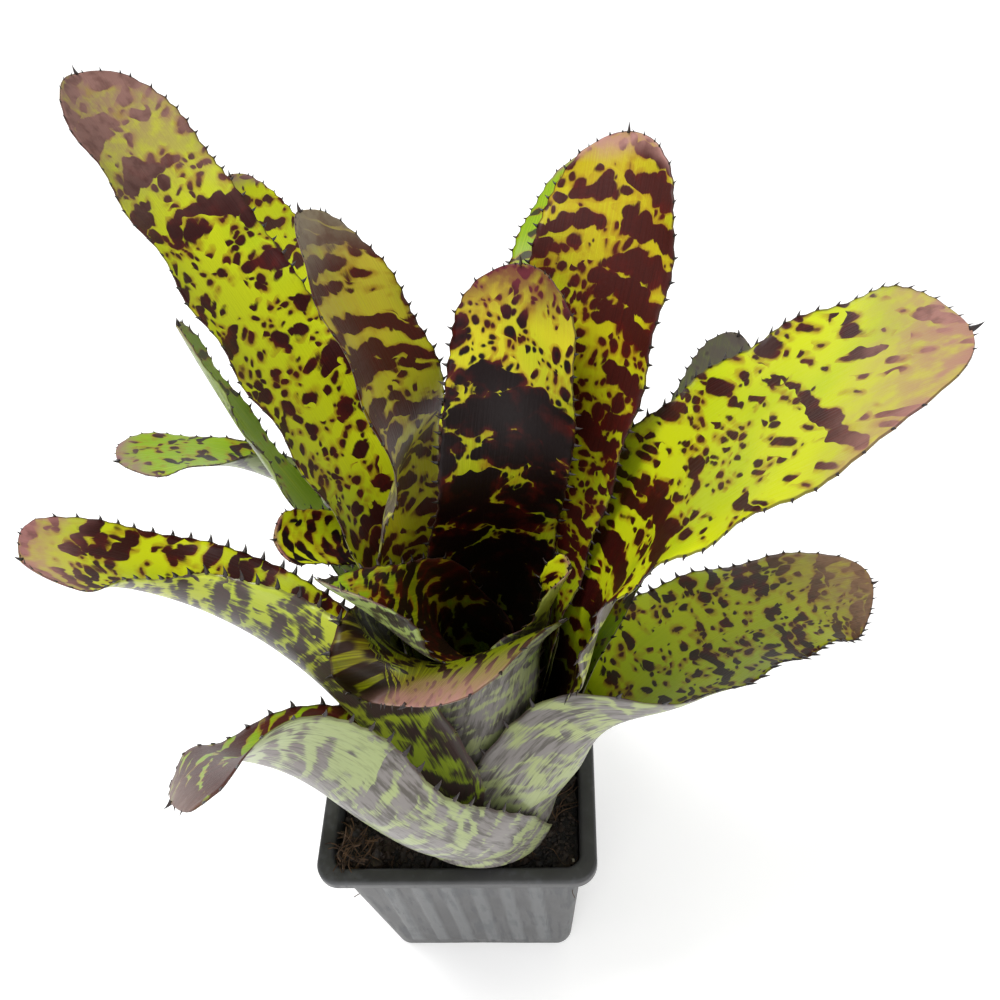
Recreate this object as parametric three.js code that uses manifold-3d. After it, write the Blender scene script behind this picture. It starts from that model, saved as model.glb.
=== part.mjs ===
// A spotted neoregelia rosette in its square nursery pot.
// Millimetres, +Z up. The origin is the middle of the pot's base, on the surface it stands on.
import * as THREE from "three";
import { mergeVertices } from "three/addons/utils/BufferGeometryUtils.js";
import Module from "manifold-3d";

const wasm = await Module();
wasm.setup();

// ---- Pot ----
const POT_HEIGHT = 93;
const RIM_WIDTH = 90; // outside the rolled lip
const BODY_WIDTH = 82; // outside the wall, just under the lip
const BASE_WIDTH = 68; // outside the wall, at the base
const WALL = 1.3;
const FLOOR = 2.4;
const LIP_DROP = 4;
const LIP_CORNER = 7.5;
const BODY_CORNER = 6;
const EDGE_ROUND = 1.2;
const CORNER_STEPS = 4;
const RIBS_PER_SIDE = 6;
const RIB_WIDTH = 4.4;
const RIB_PITCH = 9.6;
const RIB_RELIEF = 0.5;
const ARCH_WIDTH = 34; // the shallow arch under each side, between the feet
const ARCH_HEIGHT = 1.5;
const ARCH_DEPTH = 9;
const DRAIN_RADIUS = 4;
const DRAIN_OFFSET = 15;
const DRAIN_SIDES = 12;
const ARCH_SIDES = 16;

// ---- Potting mix ----
const GAP = 0.35; // between pieces that touch
const MIX_DROP = 6; // the mix lies this far under the rim
const MIX_RELIEF = 1.1;
const MIX_RINGS = 7;
const DIP_SHARES = [0.08, 0.2, 0.4, 0.7, 1]; // where the dip's outline follows the outermost base
const DIP_SIDES = 32;
const CHIPS = 14;
const CHIP_SEED = 11;
const CHIP_LENGTH = [4, 8];
const CHIP_WIDTH = [0.4, 0.7]; // shares of its length
const CHIP_THICKNESS = [1.6, 2.6];
const CHIP_TILT = 0.35; // radians either way
const CHIP_LIFT = 0.2; // middle of a chip above the mix

// ---- Plant ----
const FOOT = new THREE.Vector3(5, -17.5, -10); // where the stem's line starts, from the middle of the rim
const LINE = new THREE.Vector3(14, 17.5, 98).normalize(); // the rosette leans back and to the right
const FLARE = Math.tan(THREE.MathUtils.degToRad(5)); // the nest of leaf bases widens upwards
const OUTER_BASE = 26; // radius of the outermost leaf base
const NEST_PITCH = 1.2; // from one leaf base to the next one inside it
const BLADE = 0.65; // thickness of a leaf
const CUP_DEPTH = 10; // height over which a leaf base rounds in to the stem
const CUP_FLOOR = 2; // where the outermost base starts on the stem's line
const STEM_RADIUS = 7.5;
const STEM_TIP_RADIUS = 2.2;
const STEM_BOTTOM = -14;
const STEM_SHOULDER = 1;
const STEM_TOP = 26;
const STEM_SIDES = 20;
const LEAF_SEAT = 0.45; // from the stem to the leaf bases around it
const FOOT_WRAP = 0.75; // share of a base's wrap at its foot
const CLEARANCE = 0.3; // kept where one blade is trimmed for another that presses on it
const CLEARANCE_WRAP = 2; // the same around a base, in degrees
const TOUCH = 0.005; // mm3 of overlap that counts as pressing

// ---- Spines ----
const SPINE_ROOT = 1.6;
const SPINE_HEIGHT = 2.3;
const TIP_SPINE_ROOT = 1.8;
const TIP_SPINE_HEIGHT = 4.6;
const TIP_SPINE_HOOK = 0.8; // how far the terminal spine bends up
const SPINE_PITCH = 6; // one spine for each such stretch of margin, two at most in a row of the grid
const MOST_ROOT = 0.8; // share of its stretch that a spine's root may take
const SPINE_LEAN = 0.3; // towards the tip, as a share of its root
const SMALL_FROM = 0.8; // share of the blade past which spines are small
const SMALL_SPINE = 0.7;
const END_SPINE = 0.6;

// ---- How a blade changes along its length: shares of the length, from the nest to the tip ----
const FACED = 0.6; // the blade has turned from its place in the nest to its own heading
const OPENED = 0.18; // its channel, which faces the stem at first, faces up
const TWISTED = 0.5; // its middle twist is reached
const TWISTS_ON = 0.4; // the twist of its tip sets in
const CURL_CHANGES = 0.45; // the channel starts to change to that of the tip
const CURL_CHANGED = 0.95;
const END_POWER = 2.4; // how full the rounded end is
const FLATTEST = 0.001; // radians of channel that stand in for none

// ---- Leaf grid ----
const COLUMNS = 10;
const CUP_ROWS = [0, 0.35, 1]; // shares of CUP_DEPTH
const BLADE_ROWS = [0, 0.12, 0.25, 0.38, 0.51, 0.64, 0.76, 0.87, 0.96];

// One entry a leaf, from the outermost base inwards.
// turn: compass angle of the base. leave: height on the stem's line where the blade starts.
// tip: end of the blade from the middle of the rim. heading, climb: the way the tip points.
// rise, ease: how long the blade keeps its first and last directions. half: half its width across.
// curl: arc of its channel in mid blade and at the tip. twist: roll in mid blade and at the tip.
// taper: where the end starts to round in. neck: share of the blade over which the base narrows.
// wrap: arc of the base. lean: outward tilt of the blade's start. Angles are in degrees.
const LEAVES = [
  // low front left, arched over
  { turn: 241, leave: 17.3, tip: [-64, -52, 76], heading: 242, climb: -15, rise: 36, ease: 37,
    half: 37.1, curl: [158, -5], twist: [-17, 53], taper: 0.96, neck: 0.38, wrap: 179, lean: 45 },
  // long left
  { turn: 206, leave: 32.8, tip: [-113, 8, 103], heading: 208, climb: 41, rise: 52, ease: 62,
    half: 26.5, curl: [164, 43], twist: [33, 17], taper: 0.89, neck: 0.79, wrap: 160, lean: 11 },
  // low right
  { turn: -53, leave: 28.5, tip: [137, 36, 41], heading: -3, climb: 15, rise: 55, ease: 56,
    half: 31.4, curl: [59, 5], twist: [-29, -27], taper: 0.85, neck: 0.57, wrap: 123, lean: 11 },
  // slim left
  { turn: 118, leave: 37.8, tip: [-103, 57, 90], heading: 214, climb: 18, rise: 21, ease: 67,
    half: 20.2, curl: [144, 11], twist: [37, 16], taper: 0.89, neck: 0.43, wrap: 109, lean: 8 },
  // green strip behind the tall left leaf
  { turn: 155, leave: 53.7, tip: [-61, 47, 152], heading: 167, climb: 81, rise: 35, ease: 76,
    half: 10.4, curl: [66, 54], twist: [28, 38], taper: 0.83, neck: 0.25, wrap: 135, lean: 8 },
  // small one at the back right
  { turn: 37, leave: 48.9, tip: [89, 57, 131], heading: 42, climb: 83, rise: 45, ease: 55,
    half: 14.2, curl: [59, 24], twist: [-6, 2], taper: 0.75, neck: 0.31, wrap: 165, lean: 6 },
  // wide cup at the front
  { turn: 222, leave: 55.3, tip: [1, -42, 106], heading: 233, climb: -1, rise: 26, ease: 32,
    half: 30.3, curl: [95, -16], twist: [31, 45], taper: 0.86, neck: 1.05, wrap: 158, lean: -7 },
  // behind the tallest
  { turn: 54, leave: 67, tip: [-70, 142, 138], heading: 144, climb: 77, rise: 39, ease: 85,
    half: 18.5, curl: [28, 48], twist: [7, 0], taper: 0.72, neck: 0.2, wrap: 104, lean: 10 },
  // short, left, with a curled end
  { turn: 148, leave: 62.9, tip: [-42, 14, 101], heading: 213, climb: 34, rise: 35, ease: 73,
    half: 9, curl: [94, 54], twist: [-26, -33], taper: 0.91, neck: 0.22, wrap: 139, lean: 22 },
  // broad right
  { turn: 22, leave: 64.3, tip: [112, -25, 200], heading: -1, climb: 20, rise: 50, ease: 35,
    half: 31.2, curl: [51, 0], twist: [-12, -19], taper: 0.8, neck: 0.28, wrap: 106, lean: 3 },
  // tallest, back left
  { turn: 169, leave: 65.6, tip: [-86, 98, 197], heading: 139, climb: 46, rise: 36, ease: 119,
    half: 20.5, curl: [74, 64], twist: [17, 25], taper: 0.87, neck: 0.2, wrap: 105, lean: 2 },
  // mauve-tipped, left of the middle
  { turn: 144, leave: 74.5, tip: [-22, 52, 181], heading: 134, climb: 55, rise: 94, ease: 110,
    half: 21, curl: [50, 48], twist: [31, 37], taper: 0.7, neck: 0.3, wrap: 110, lean: 24 },
  // green strip behind the back leaf
  { turn: 79, leave: 75.7, tip: [50, 108, 159], heading: 77, climb: 24, rise: 46, ease: 55,
    half: 17.7, curl: [58, 23], twist: [4, -30], taper: 0.79, neck: 0.35, wrap: 167, lean: 0 },
  // broad back
  { turn: 72, leave: 83, tip: [59, 67, 188], heading: 74, climb: 45, rise: 37, ease: 80,
    half: 19.8, curl: [57, 46], twist: [-10, -17], taper: 0.76, neck: 0.29, wrap: 162, lean: 3 },
  // upright, middle
  { turn: 100, leave: 91.9, tip: [32, 40, 171], heading: 80, climb: 53, rise: 26, ease: 69,
    half: 17.4, curl: [42, 40], twist: [12, -23], taper: 0.81, neck: 0.32, wrap: 168, lean: -1 },
  // short, inside the wide cup
  { turn: 168, leave: 75, tip: [-13, -22, 126], heading: 201, climb: 73, rise: 36, ease: 50,
    half: 17.2, curl: [98, 17], twist: [-10, 40], taper: 0.79, neck: 0.21, wrap: 215, lean: -4 },
  // youngest, rolled around the growing point
  { turn: 330, leave: 97.5, tip: [41, -8, 113], heading: 350, climb: 64, rise: 8, ease: 9,
    half: 9, curl: [120, 90], twist: [0, -1], taper: 0.6, neck: 0.32, wrap: 122, lean: 0 },
];

const matt = (color, roughness) => new THREE.MeshStandardMaterial({ color, roughness, metalness: 0 });
const POT_BLACK = matt(0x1d1e20, 0.55);
const PEAT = matt(0x2a2019, 0.95);
const STEM_GREEN = matt(0x8a9455, 0.6);
const LEAF_GREEN = matt(0x7d9a1e, 0.35);

// ---- Solids ----
const radians = THREE.MathUtils.degToRad;
const within = ([low, high], share) => low + (high - low) * share;

function solid(geometry, matrix = new THREE.Matrix4()) {
  const bare = geometry.index ? geometry.toNonIndexed() : geometry.clone();
  bare.deleteAttribute("normal");
  bare.deleteAttribute("uv");
  const merged = mergeVertices(bare.applyMatrix4(matrix), 1e-4);
  const vertProperties = merged.attributes.position.array;
  const triVerts = new Uint32Array(merged.index.array);
  return new wasm.Manifold(new wasm.Mesh({ numProp: 3, vertProperties, triVerts }));
}

function geometryOf(body) {
  const { vertProperties, triVerts } = body.getMesh();
  const geometry = new THREE.BufferGeometry();
  geometry.setAttribute("position", new THREE.BufferAttribute(vertProperties, 3));
  geometry.setIndex(new THREE.BufferAttribute(triVerts, 1));
  return geometry;
}

function named(name, geometry, material) {
  const mesh = new THREE.Mesh(geometry, material);
  mesh.name = name;
  return mesh;
}

function geometryFrom(points, triangles) {
  const geometry = new THREE.BufferGeometry();
  geometry.setFromPoints(points);
  geometry.setIndex(triangles);
  return geometry;
}

// A closed skin through rings of equal length, counterclockwise from above where the rings rise.
function skin(rings, start, end) {
  const count = rings[0].length;
  const points = rings.flat().concat(start, end);
  const first = rings.length * count;
  const triangles = [];
  for (let k = 0; k < count; k++) {
    const next = (k + 1) % count;
    triangles.push(first, next, k);
    for (let ring = 0; ring + 1 < rings.length; ring++) {
      const low = ring * count;
      const high = low + count;
      triangles.push(low + k, low + next, high + next);
      triangles.push(low + k, high + next, high + k);
    }
    const last = first - count;
    triangles.push(last + k, last + next, first + 1);
  }
  return geometryFrom(points, triangles);
}

function squareRing(width, corner, z) {
  const ring = [];
  const inset = width / 2 - corner;
  for (let side = 0; side < 4; side++) {
    const middle = radians(45 + 90 * side);
    const x = Math.sign(Math.cos(middle)) * inset;
    const y = Math.sign(Math.sin(middle)) * inset;
    for (let step = 0; step <= CORNER_STEPS; step++) {
      const angle = radians(90 * (side + step / CORNER_STEPS));
      const height = typeof z === "function" ? z(x, y) : z;
      ring.push(new THREE.Vector3(x + corner * Math.cos(angle), y + corner * Math.sin(angle), height));
    }
  }
  return ring;
}

// ---- Pot ----
function potWidth(z) {
  return BASE_WIDTH + (BODY_WIDTH - BASE_WIDTH) * (z / POT_HEIGHT);
}

function potShell() {
  const skirt = RIM_WIDTH - 2 * WALL;
  const lipFoot = POT_HEIGHT - LIP_DROP;
  const inner = BODY_CORNER - WALL;
  const rings = [
    squareRing(BASE_WIDTH - 2 * EDGE_ROUND, BODY_CORNER - EDGE_ROUND, 0),
    squareRing(potWidth(EDGE_ROUND), BODY_CORNER, EDGE_ROUND),
    squareRing(potWidth(POT_HEIGHT - WALL), BODY_CORNER, POT_HEIGHT - WALL),
    squareRing(skirt, LIP_CORNER - WALL, POT_HEIGHT - WALL),
    squareRing(skirt, LIP_CORNER - WALL, lipFoot),
    squareRing(RIM_WIDTH, LIP_CORNER, lipFoot),
    squareRing(RIM_WIDTH, LIP_CORNER, POT_HEIGHT - EDGE_ROUND / 2),
    squareRing(RIM_WIDTH - EDGE_ROUND, LIP_CORNER - EDGE_ROUND / 2, POT_HEIGHT),
    squareRing(potWidth(POT_HEIGHT) - 2 * WALL, inner, POT_HEIGHT),
    squareRing(potWidth(FLOOR) - 2 * WALL, inner, FLOOR),
  ];
  return solid(skin(rings, new THREE.Vector3(0, 0, 0), new THREE.Vector3(0, 0, FLOOR)));
}

function pot() {
  let body = potShell();
  const slope = Math.atan((BODY_WIDTH - BASE_WIDTH) / 2 / POT_HEIGHT);
  const ribFoot = 2 * LIP_DROP;
  const ribTop = POT_HEIGHT - 2 * LIP_DROP;
  const ribLength = ribTop - ribFoot;
  const rib = new THREE.BoxGeometry(RIB_WIDTH, WALL, ribLength);
  const arch = new THREE.Shape();
  arch.absellipse(0, 0, ARCH_WIDTH / 2, ARCH_HEIGHT, 0, 2 * Math.PI, false);
  const cut = { depth: ARCH_DEPTH, bevelEnabled: false, curveSegments: ARCH_SIDES };
  const tunnel = new THREE.ExtrudeGeometry(arch, cut);
  const drain = new THREE.CylinderGeometry(DRAIN_RADIUS, DRAIN_RADIUS, 3 * FLOOR, DRAIN_SIDES);
  for (let side = 0; side < 4; side++) {
    const face = new THREE.Matrix4().makeRotationZ(radians(90 * side));
    const middle = (ribFoot + ribTop) / 2;
    for (let k = 0; k < RIBS_PER_SIDE; k++) {
      const x = (k - (RIBS_PER_SIDE - 1) / 2) * RIB_PITCH;
      const y = potWidth(middle) / 2 + RIB_RELIEF - WALL / 2;
      const place = new THREE.Matrix4().makeRotationX(-slope).setPosition(x, y, middle);
      body = body.add(solid(rib, place.premultiply(face)));
    }
    const lie = new THREE.Matrix4().makeRotationX(Math.PI / 2);
    lie.setPosition(0, BASE_WIDTH / 2 + EDGE_ROUND, 0);
    body = body.subtract(solid(tunnel, lie.premultiply(face)));
    const hole = new THREE.Matrix4().makeRotationX(Math.PI / 2);
    hole.setPosition(DRAIN_OFFSET, DRAIN_OFFSET, FLOOR / 2);
    body = body.subtract(solid(drain, hole.premultiply(face)));
  }
  return named("pot", geometryOf(body), POT_BLACK);
}

// ---- Stem and nest, in the frame of the plant's line (distance along LINE from FOOT) ----
const ACROSS = new THREE.Vector3(1, 0, 0).addScaledVector(LINE, -LINE.x).normalize();
const AWAY = new THREE.Vector3().crossVectors(LINE, ACROSS);

function outward(angle) {
  return ACROSS.clone().multiplyScalar(Math.cos(angle)).addScaledVector(AWAY, Math.sin(angle));
}

function sideways(angle) {
  return ACROSS.clone().multiplyScalar(-Math.sin(angle)).addScaledVector(AWAY, Math.cos(angle));
}

function stemRadius(height) {
  const share = THREE.MathUtils.clamp((height - STEM_SHOULDER) / (STEM_TOP - STEM_SHOULDER), 0, 1);
  return STEM_RADIUS + (STEM_TIP_RADIUS - STEM_RADIUS) * share;
}

// A solid turned about the plant's line, from [radius, height] pairs that start and end on the line.
function turned(profile, segments) {
  const lathe = new THREE.LatheGeometry(
    profile.map(([radius, height]) => new THREE.Vector2(radius, height)),
    segments,
  );
  const basis = new THREE.Matrix4().makeBasis(ACROSS, LINE, AWAY.clone().negate());
  return solid(lathe, basis.setPosition(FOOT));
}

function stem() {
  const body = turned(
    [
      [0, STEM_BOTTOM],
      [STEM_RADIUS, STEM_BOTTOM],
      [STEM_RADIUS, STEM_SHOULDER],
      [STEM_TIP_RADIUS, STEM_TOP],
      [0, STEM_TOP + 1],
    ],
    STEM_SIDES,
  );
  return named("stem", geometryOf(body), STEM_GREEN);
}

// Radius of leaf base number index at a height on the line.
function baseRadius(index, height) {
  const wall = OUTER_BASE - NEST_PITCH * index + FLARE * height;
  const up = THREE.MathUtils.clamp((height - baseFloor(index)) / CUP_DEPTH, 0, 1);
  const cup = Math.sqrt(1 - (1 - up) ** 2);
  const seat = stemRadius(height) + LEAF_SEAT + BLADE / 2;
  return Math.max(wall * cup, seat);
}

function baseFloor(index) {
  return CUP_FLOOR + NEST_PITCH * index;
}

// ---- Potting mix ----
// What the mix keeps clear of: the stem's hole and the dip that the outermost base sits in.
function rootRoom() {
  const clear = GAP + BLADE / 2;
  const profile = [[0, STEM_BOTTOM - GAP], [STEM_RADIUS + GAP, STEM_BOTTOM - GAP]];
  profile.push([STEM_RADIUS + GAP, CUP_FLOOR - clear]);
  for (const share of DIP_SHARES) {
    const height = CUP_FLOOR + share * CUP_DEPTH;
    profile.push([baseRadius(0, height) + clear, height - clear]);
  }
  const top = CUP_FLOOR + 3 * CUP_DEPTH;
  profile.push([baseRadius(0, top) + clear, top], [0, top]);
  return turned(profile, DIP_SIDES);
}

function relief(x, y) {
  const wave = Math.sin(0.31 * x + 1.3) * Math.cos(0.27 * y - 0.6) + 0.6 * Math.sin(0.55 * x - 0.62 * y);
  return 0.6 * MIX_RELIEF * wave;
}

function bark(random, top) {
  const span = BODY_WIDTH / 2 - WALL - CHIP_LENGTH[1];
  const length = within(CHIP_LENGTH, random());
  const width = length * within(CHIP_WIDTH, random());
  const chip = new THREE.BoxGeometry(length, width, within(CHIP_THICKNESS, random()));
  const x = within([-span, span], random());
  const y = within([-span, span], random());
  const tilt = [-CHIP_TILT, CHIP_TILT];
  const turn = new THREE.Euler(within(tilt, random()), within(tilt, random()), Math.PI * random());
  const place = new THREE.Matrix4().makeRotationFromEuler(turn);
  place.setPosition(x, y, top + relief(x, y) + CHIP_LIFT);
  return solid(chip, place);
}

function pottingMix() {
  const top = POT_HEIGHT - MIX_DROP;
  const low = FLOOR + GAP;
  const inset = 2 * (WALL + GAP);
  const corner = BODY_CORNER - WALL - GAP;
  const rings = [squareRing(potWidth(low) - inset, corner, low)];
  for (let k = 0; k < MIX_RINGS; k++) {
    const share = 1 - k / MIX_RINGS;
    const ring = squareRing((potWidth(top) - inset) * share, corner * share, top);
    if (k > 0) ring.forEach((p) => (p.z += relief(p.x, p.y)));
    rings.push(ring);
  }
  let body = solid(skin(rings, new THREE.Vector3(0, 0, low), new THREE.Vector3(0, 0, top + relief(0, 0))));
  const random = seeded(CHIP_SEED);
  for (let k = 0; k < CHIPS; k++) {
    body = body.add(bark(random, top));
  }
  body = body.subtract(rootRoom().translate([0, 0, POT_HEIGHT]));
  return named("potting_mix", geometryOf(largest(body)), PEAT);
}

function seeded(seed) {
  let state = seed;
  return () => {
    state = (state * 16807) % 2147483647;
    return state / 2147483647;
  };
}

// ---- Leaves ----
const smooth = (x) => THREE.MathUtils.smoothstep(x, 0, 1);

function heading(angle) {
  return new THREE.Vector3(Math.cos(angle), Math.sin(angle), 0);
}

// The line along the middle of a blade, from where it leaves the nest to its tip.
function midrib(leaf, index) {
  const out = outward(radians(leaf.turn));
  const start = FOOT.clone().addScaledVector(LINE, leaf.leave);
  start.addScaledVector(out, baseRadius(index, leaf.leave));
  const away = LINE.clone().addScaledVector(out, FLARE).normalize();
  const lean = radians(leaf.lean);
  away.multiplyScalar(Math.cos(lean)).addScaledVector(out, Math.sin(lean)).normalize();
  const tip = new THREE.Vector3(...leaf.tip);
  const climb = radians(leaf.climb);
  const ending = heading(radians(leaf.heading)).multiplyScalar(Math.cos(climb));
  ending.z = Math.sin(climb);
  return new THREE.CubicBezierCurve3(
    start,
    start.clone().addScaledVector(away, leaf.rise),
    tip.clone().addScaledVector(ending, -leaf.ease),
    tip,
  );
}

// One row of points across the blade, at share s of its length.
function bladeRow(leaf, index, curve, s) {
  const centre = curve.getPointAt(s);
  const along = curve.getTangentAt(s);
  const out = outward(radians(leaf.turn));
  const turnTo = radians(leaf.heading) + Math.PI / 2;
  const across = sideways(radians(leaf.turn)).lerp(heading(turnTo), smooth(s / FACED)).normalize();
  across.addScaledVector(along, -across.dot(along)).normalize();
  const roll = radians(
    leaf.twist[0] * smooth(s / TWISTED) +
      (leaf.twist[1] - leaf.twist[0]) * smooth((s - TWISTS_ON) / (1 - TWISTS_ON)),
  );
  const side = across.clone().applyAxisAngle(along, roll);
  const up = new THREE.Vector3().crossVectors(along, side);
  const inward = out.negate().lerp(up, smooth(s / OPENED)).normalize();
  const narrow = smooth(s / leaf.neck);
  const wrap = radians(leaf.wrap);
  const [mid, end] = leaf.curl.map(radians);
  const onward = smooth((s - CURL_CHANGES) / (CURL_CHANGED - CURL_CHANGES));
  const arc = wrap * (1 - narrow) + mid * narrow + (end - mid) * onward;
  const round = THREE.MathUtils.clamp((s - leaf.taper) / (1 - leaf.taper), 0, 1);
  const wide = (baseRadius(index, leaf.leave) * wrap) / 2;
  const half = (wide * (1 - narrow) + leaf.half * narrow) * Math.sqrt(1 - round ** END_POWER);
  const bend = Math.abs(arc) < FLATTEST ? FLATTEST : arc;
  const radius = (2 * half) / bend;
  const row = [];
  for (let j = 0; j <= COLUMNS; j++) {
    const angle = ((2 * j) / COLUMNS - 1) * (bend / 2);
    const point = centre.clone().addScaledVector(side, radius * Math.sin(angle));
    row.push(point.addScaledVector(inward, radius * (1 - Math.cos(angle))));
  }
  return row;
}

function baseRow(leaf, index, height, share) {
  const wrap = radians(leaf.wrap) * within([FOOT_WRAP, 1], smooth(share));
  const row = [];
  for (let j = 0; j <= COLUMNS; j++) {
    const angle = radians(leaf.turn) + ((2 * j) / COLUMNS - 1) * (wrap / 2);
    const point = FOOT.clone().addScaledVector(LINE, height);
    row.push(point.addScaledVector(outward(angle), baseRadius(index, height)));
  }
  return row;
}

function leafRows(leaf, index) {
  const floor = baseFloor(index);
  const depth = Math.min(CUP_DEPTH, leaf.leave - floor);
  const rows = CUP_ROWS.map((share) => {
    const height = floor + share * depth;
    return baseRow(leaf, index, height, (height - floor) / (leaf.leave - floor));
  });
  if (leaf.leave - floor < CUP_DEPTH + 1) rows.pop();
  const curve = midrib(leaf, index);
  BLADE_ROWS.forEach((s) => rows.push(bladeRow(leaf, index, curve, s)));
  return { rows, curve };
}

function rowNormals(rows) {
  const last = rows.length - 1;
  return rows.map((row, i) =>
    row.map((_, j) => {
      const du = rows[Math.min(i + 1, last)][j].clone().sub(rows[Math.max(i - 1, 0)][j]);
      const dv = row[Math.min(j + 1, COLUMNS)].clone().sub(row[Math.max(j - 1, 0)]);
      return du.cross(dv).normalize();
    }),
  );
}

// Builds the two faces, the rim between them and the spines as one closed skin.
class LeafSkin {
  constructor(swell) {
    this.points = [];
    this.triangles = [];
    this.swell = swell; // added on every side
  }

  // A point of the rim or the faces: its place on the upper and on the lower face.
  pair(point, normal) {
    const offset = BLADE / 2 + this.swell;
    const top = this.points.push(point.clone().addScaledVector(normal, offset)) - 1;
    const bottom = this.points.push(point.clone().addScaledVector(normal, -offset)) - 1;
    return { top, bottom };
  }

  between(a, b, share) {
    const mix = (key) => this.points.push(this.points[a[key]].clone().lerp(this.points[b[key]], share)) - 1;
    return { top: mix("top"), bottom: mix("bottom") };
  }

  middle(pair) {
    return this.points[pair.top].clone().add(this.points[pair.bottom]).multiplyScalar(0.5);
  }

  face(a, b, c) {
    this.triangles.push(a.top, b.top, c.top, a.bottom, c.bottom, b.bottom);
  }

  rim(a, b) {
    this.triangles.push(a.top, b.top, b.bottom, a.top, b.bottom, a.bottom);
  }

  spine(a, b, apex) {
    const tip = this.points.push(apex) - 1;
    this.triangles.push(a.top, b.top, tip, b.top, b.bottom, tip);
    this.triangles.push(b.bottom, a.bottom, tip, a.bottom, a.top, tip);
  }
}

// Points along one stretch of margin from a to b with spines between them; the first and last are a and b.
function spinedEdge(shape, a, b, inner, spines, size) {
  const from = shape.middle(a);
  const along = shape.middle(b).sub(from);
  const length = along.length();
  along.normalize();
  const out = from.clone().sub(shape.middle(inner));
  out.addScaledVector(along, -out.dot(along)).normalize();
  const room = (MOST_ROOT * length) / Math.max(spines, 1);
  const root = Math.min(SPINE_ROOT * size + 2 * shape.swell, room);
  const stops = [a];
  const apexes = [null];
  for (let k = 0; k < spines; k++) {
    const middle = (k + 0.5) / spines;
    const low = shape.between(a, b, middle - root / length / 2);
    const high = shape.between(a, b, middle + root / length / 2);
    const apex = from.clone().addScaledVector(along, middle * length + SPINE_LEAN * root);
    stops.push(low, high);
    apexes.push(null, apex.addScaledVector(out, SPINE_HEIGHT * size + shape.swell));
  }
  stops.push(b);
  apexes.push(null);
  return { stops, apexes };
}

function closeEdge(shape, edge, forward) {
  for (let k = 1; k < edge.stops.length; k++) {
    const [a, b] = forward ? [edge.stops[k - 1], edge.stops[k]] : [edge.stops[k], edge.stops[k - 1]];
    if (edge.apexes[k]) shape.spine(a, b, edge.apexes[k]);
    else shape.rim(a, b);
  }
}

function leafGeometry(leaf, index, swell = 0) {
  const { rows, curve } = leafRows(leaf, index);
  const normals = rowNormals(rows);
  const shape = new LeafSkin(swell);
  const grid = rows.map((row, i) => row.map((point, j) => shape.pair(point, normals[i][j])));
  const last = rows.length - 1;
  const bladeStart = rows.length - BLADE_ROWS.length;
  const reach = curve.getLength();
  for (let i = 0; i < last; i++) {
    for (let j = 1; j < COLUMNS - 1; j++) {
      shape.face(grid[i][j], grid[i + 1][j], grid[i + 1][j + 1]);
      shape.face(grid[i][j], grid[i + 1][j + 1], grid[i][j + 1]);
    }
    const s = i < bladeStart ? 0 : BLADE_ROWS[i - bladeStart];
    const next = i < bladeStart ? 0 : BLADE_ROWS[i - bladeStart + 1];
    const stretch = Math.round(((next - s) * reach) / SPINE_PITCH);
    const spines = i < bladeStart ? 0 : THREE.MathUtils.clamp(stretch, 1, 2);
    const size = s > SMALL_FROM ? SMALL_SPINE : 1;
    const left = spinedEdge(shape, grid[i][0], grid[i + 1][0], grid[i][1], spines, size);
    for (let k = 1; k < left.stops.length; k++) shape.face(grid[i][1], left.stops[k - 1], left.stops[k]);
    shape.face(grid[i][1], grid[i + 1][0], grid[i + 1][1]);
    closeEdge(shape, left, false);
    const inner = grid[i][COLUMNS - 1];
    const right = spinedEdge(shape, grid[i][COLUMNS], grid[i + 1][COLUMNS], inner, spines, size);
    shape.face(inner, grid[i + 1][COLUMNS - 1], grid[i + 1][COLUMNS]);
    for (let k = 1; k < right.stops.length; k++) shape.face(inner, right.stops[k], right.stops[k - 1]);
    closeEdge(shape, right, true);
  }
  for (let j = 0; j < COLUMNS; j++) shape.rim(grid[0][j], grid[0][j + 1]);
  closeTip(shape, grid[last], normals[last], curve);
  return geometryFrom(shape.points, shape.triangles);
}

// The rounded end past the last row, with the terminal spine on its middle.
function closeTip(shape, row, rowNormal, curve) {
  const half = COLUMNS / 2;
  const normal = rowNormal[half];
  const tip = curve.getPointAt(1);
  const ahead = curve.getTangentAt(1);
  const side = shape.middle(row[COLUMNS]).sub(shape.middle(row[0])).normalize();
  const left = shape.pair(tip.clone().addScaledVector(side, -TIP_SPINE_ROOT / 2), normal);
  const right = shape.pair(tip.clone().addScaledVector(side, TIP_SPINE_ROOT / 2), normal);
  for (let j = 1; j < half; j++) shape.face(row[j], left, row[j + 1]);
  for (let j = half; j < COLUMNS - 1; j++) shape.face(row[j], right, row[j + 1]);
  shape.face(row[half], left, right);
  const leftEdge = spinedEdge(shape, row[0], left, row[1], 1, END_SPINE);
  for (let k = 1; k < leftEdge.stops.length; k++) {
    shape.face(row[1], leftEdge.stops[k - 1], leftEdge.stops[k]);
  }
  closeEdge(shape, leftEdge, false);
  const rightEdge = spinedEdge(shape, row[COLUMNS], right, row[COLUMNS - 1], 1, END_SPINE);
  for (let k = 1; k < rightEdge.stops.length; k++) {
    shape.face(row[COLUMNS - 1], rightEdge.stops[k], rightEdge.stops[k - 1]);
  }
  closeEdge(shape, rightEdge, true);
  const apex = tip.clone().addScaledVector(ahead, TIP_SPINE_HEIGHT).addScaledVector(normal, TIP_SPINE_HOOK);
  shape.spine(right, left, apex);
}

function largest(body) {
  return body.decompose().sort((a, b) => b.volume() - a.volume())[0];
}

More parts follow.
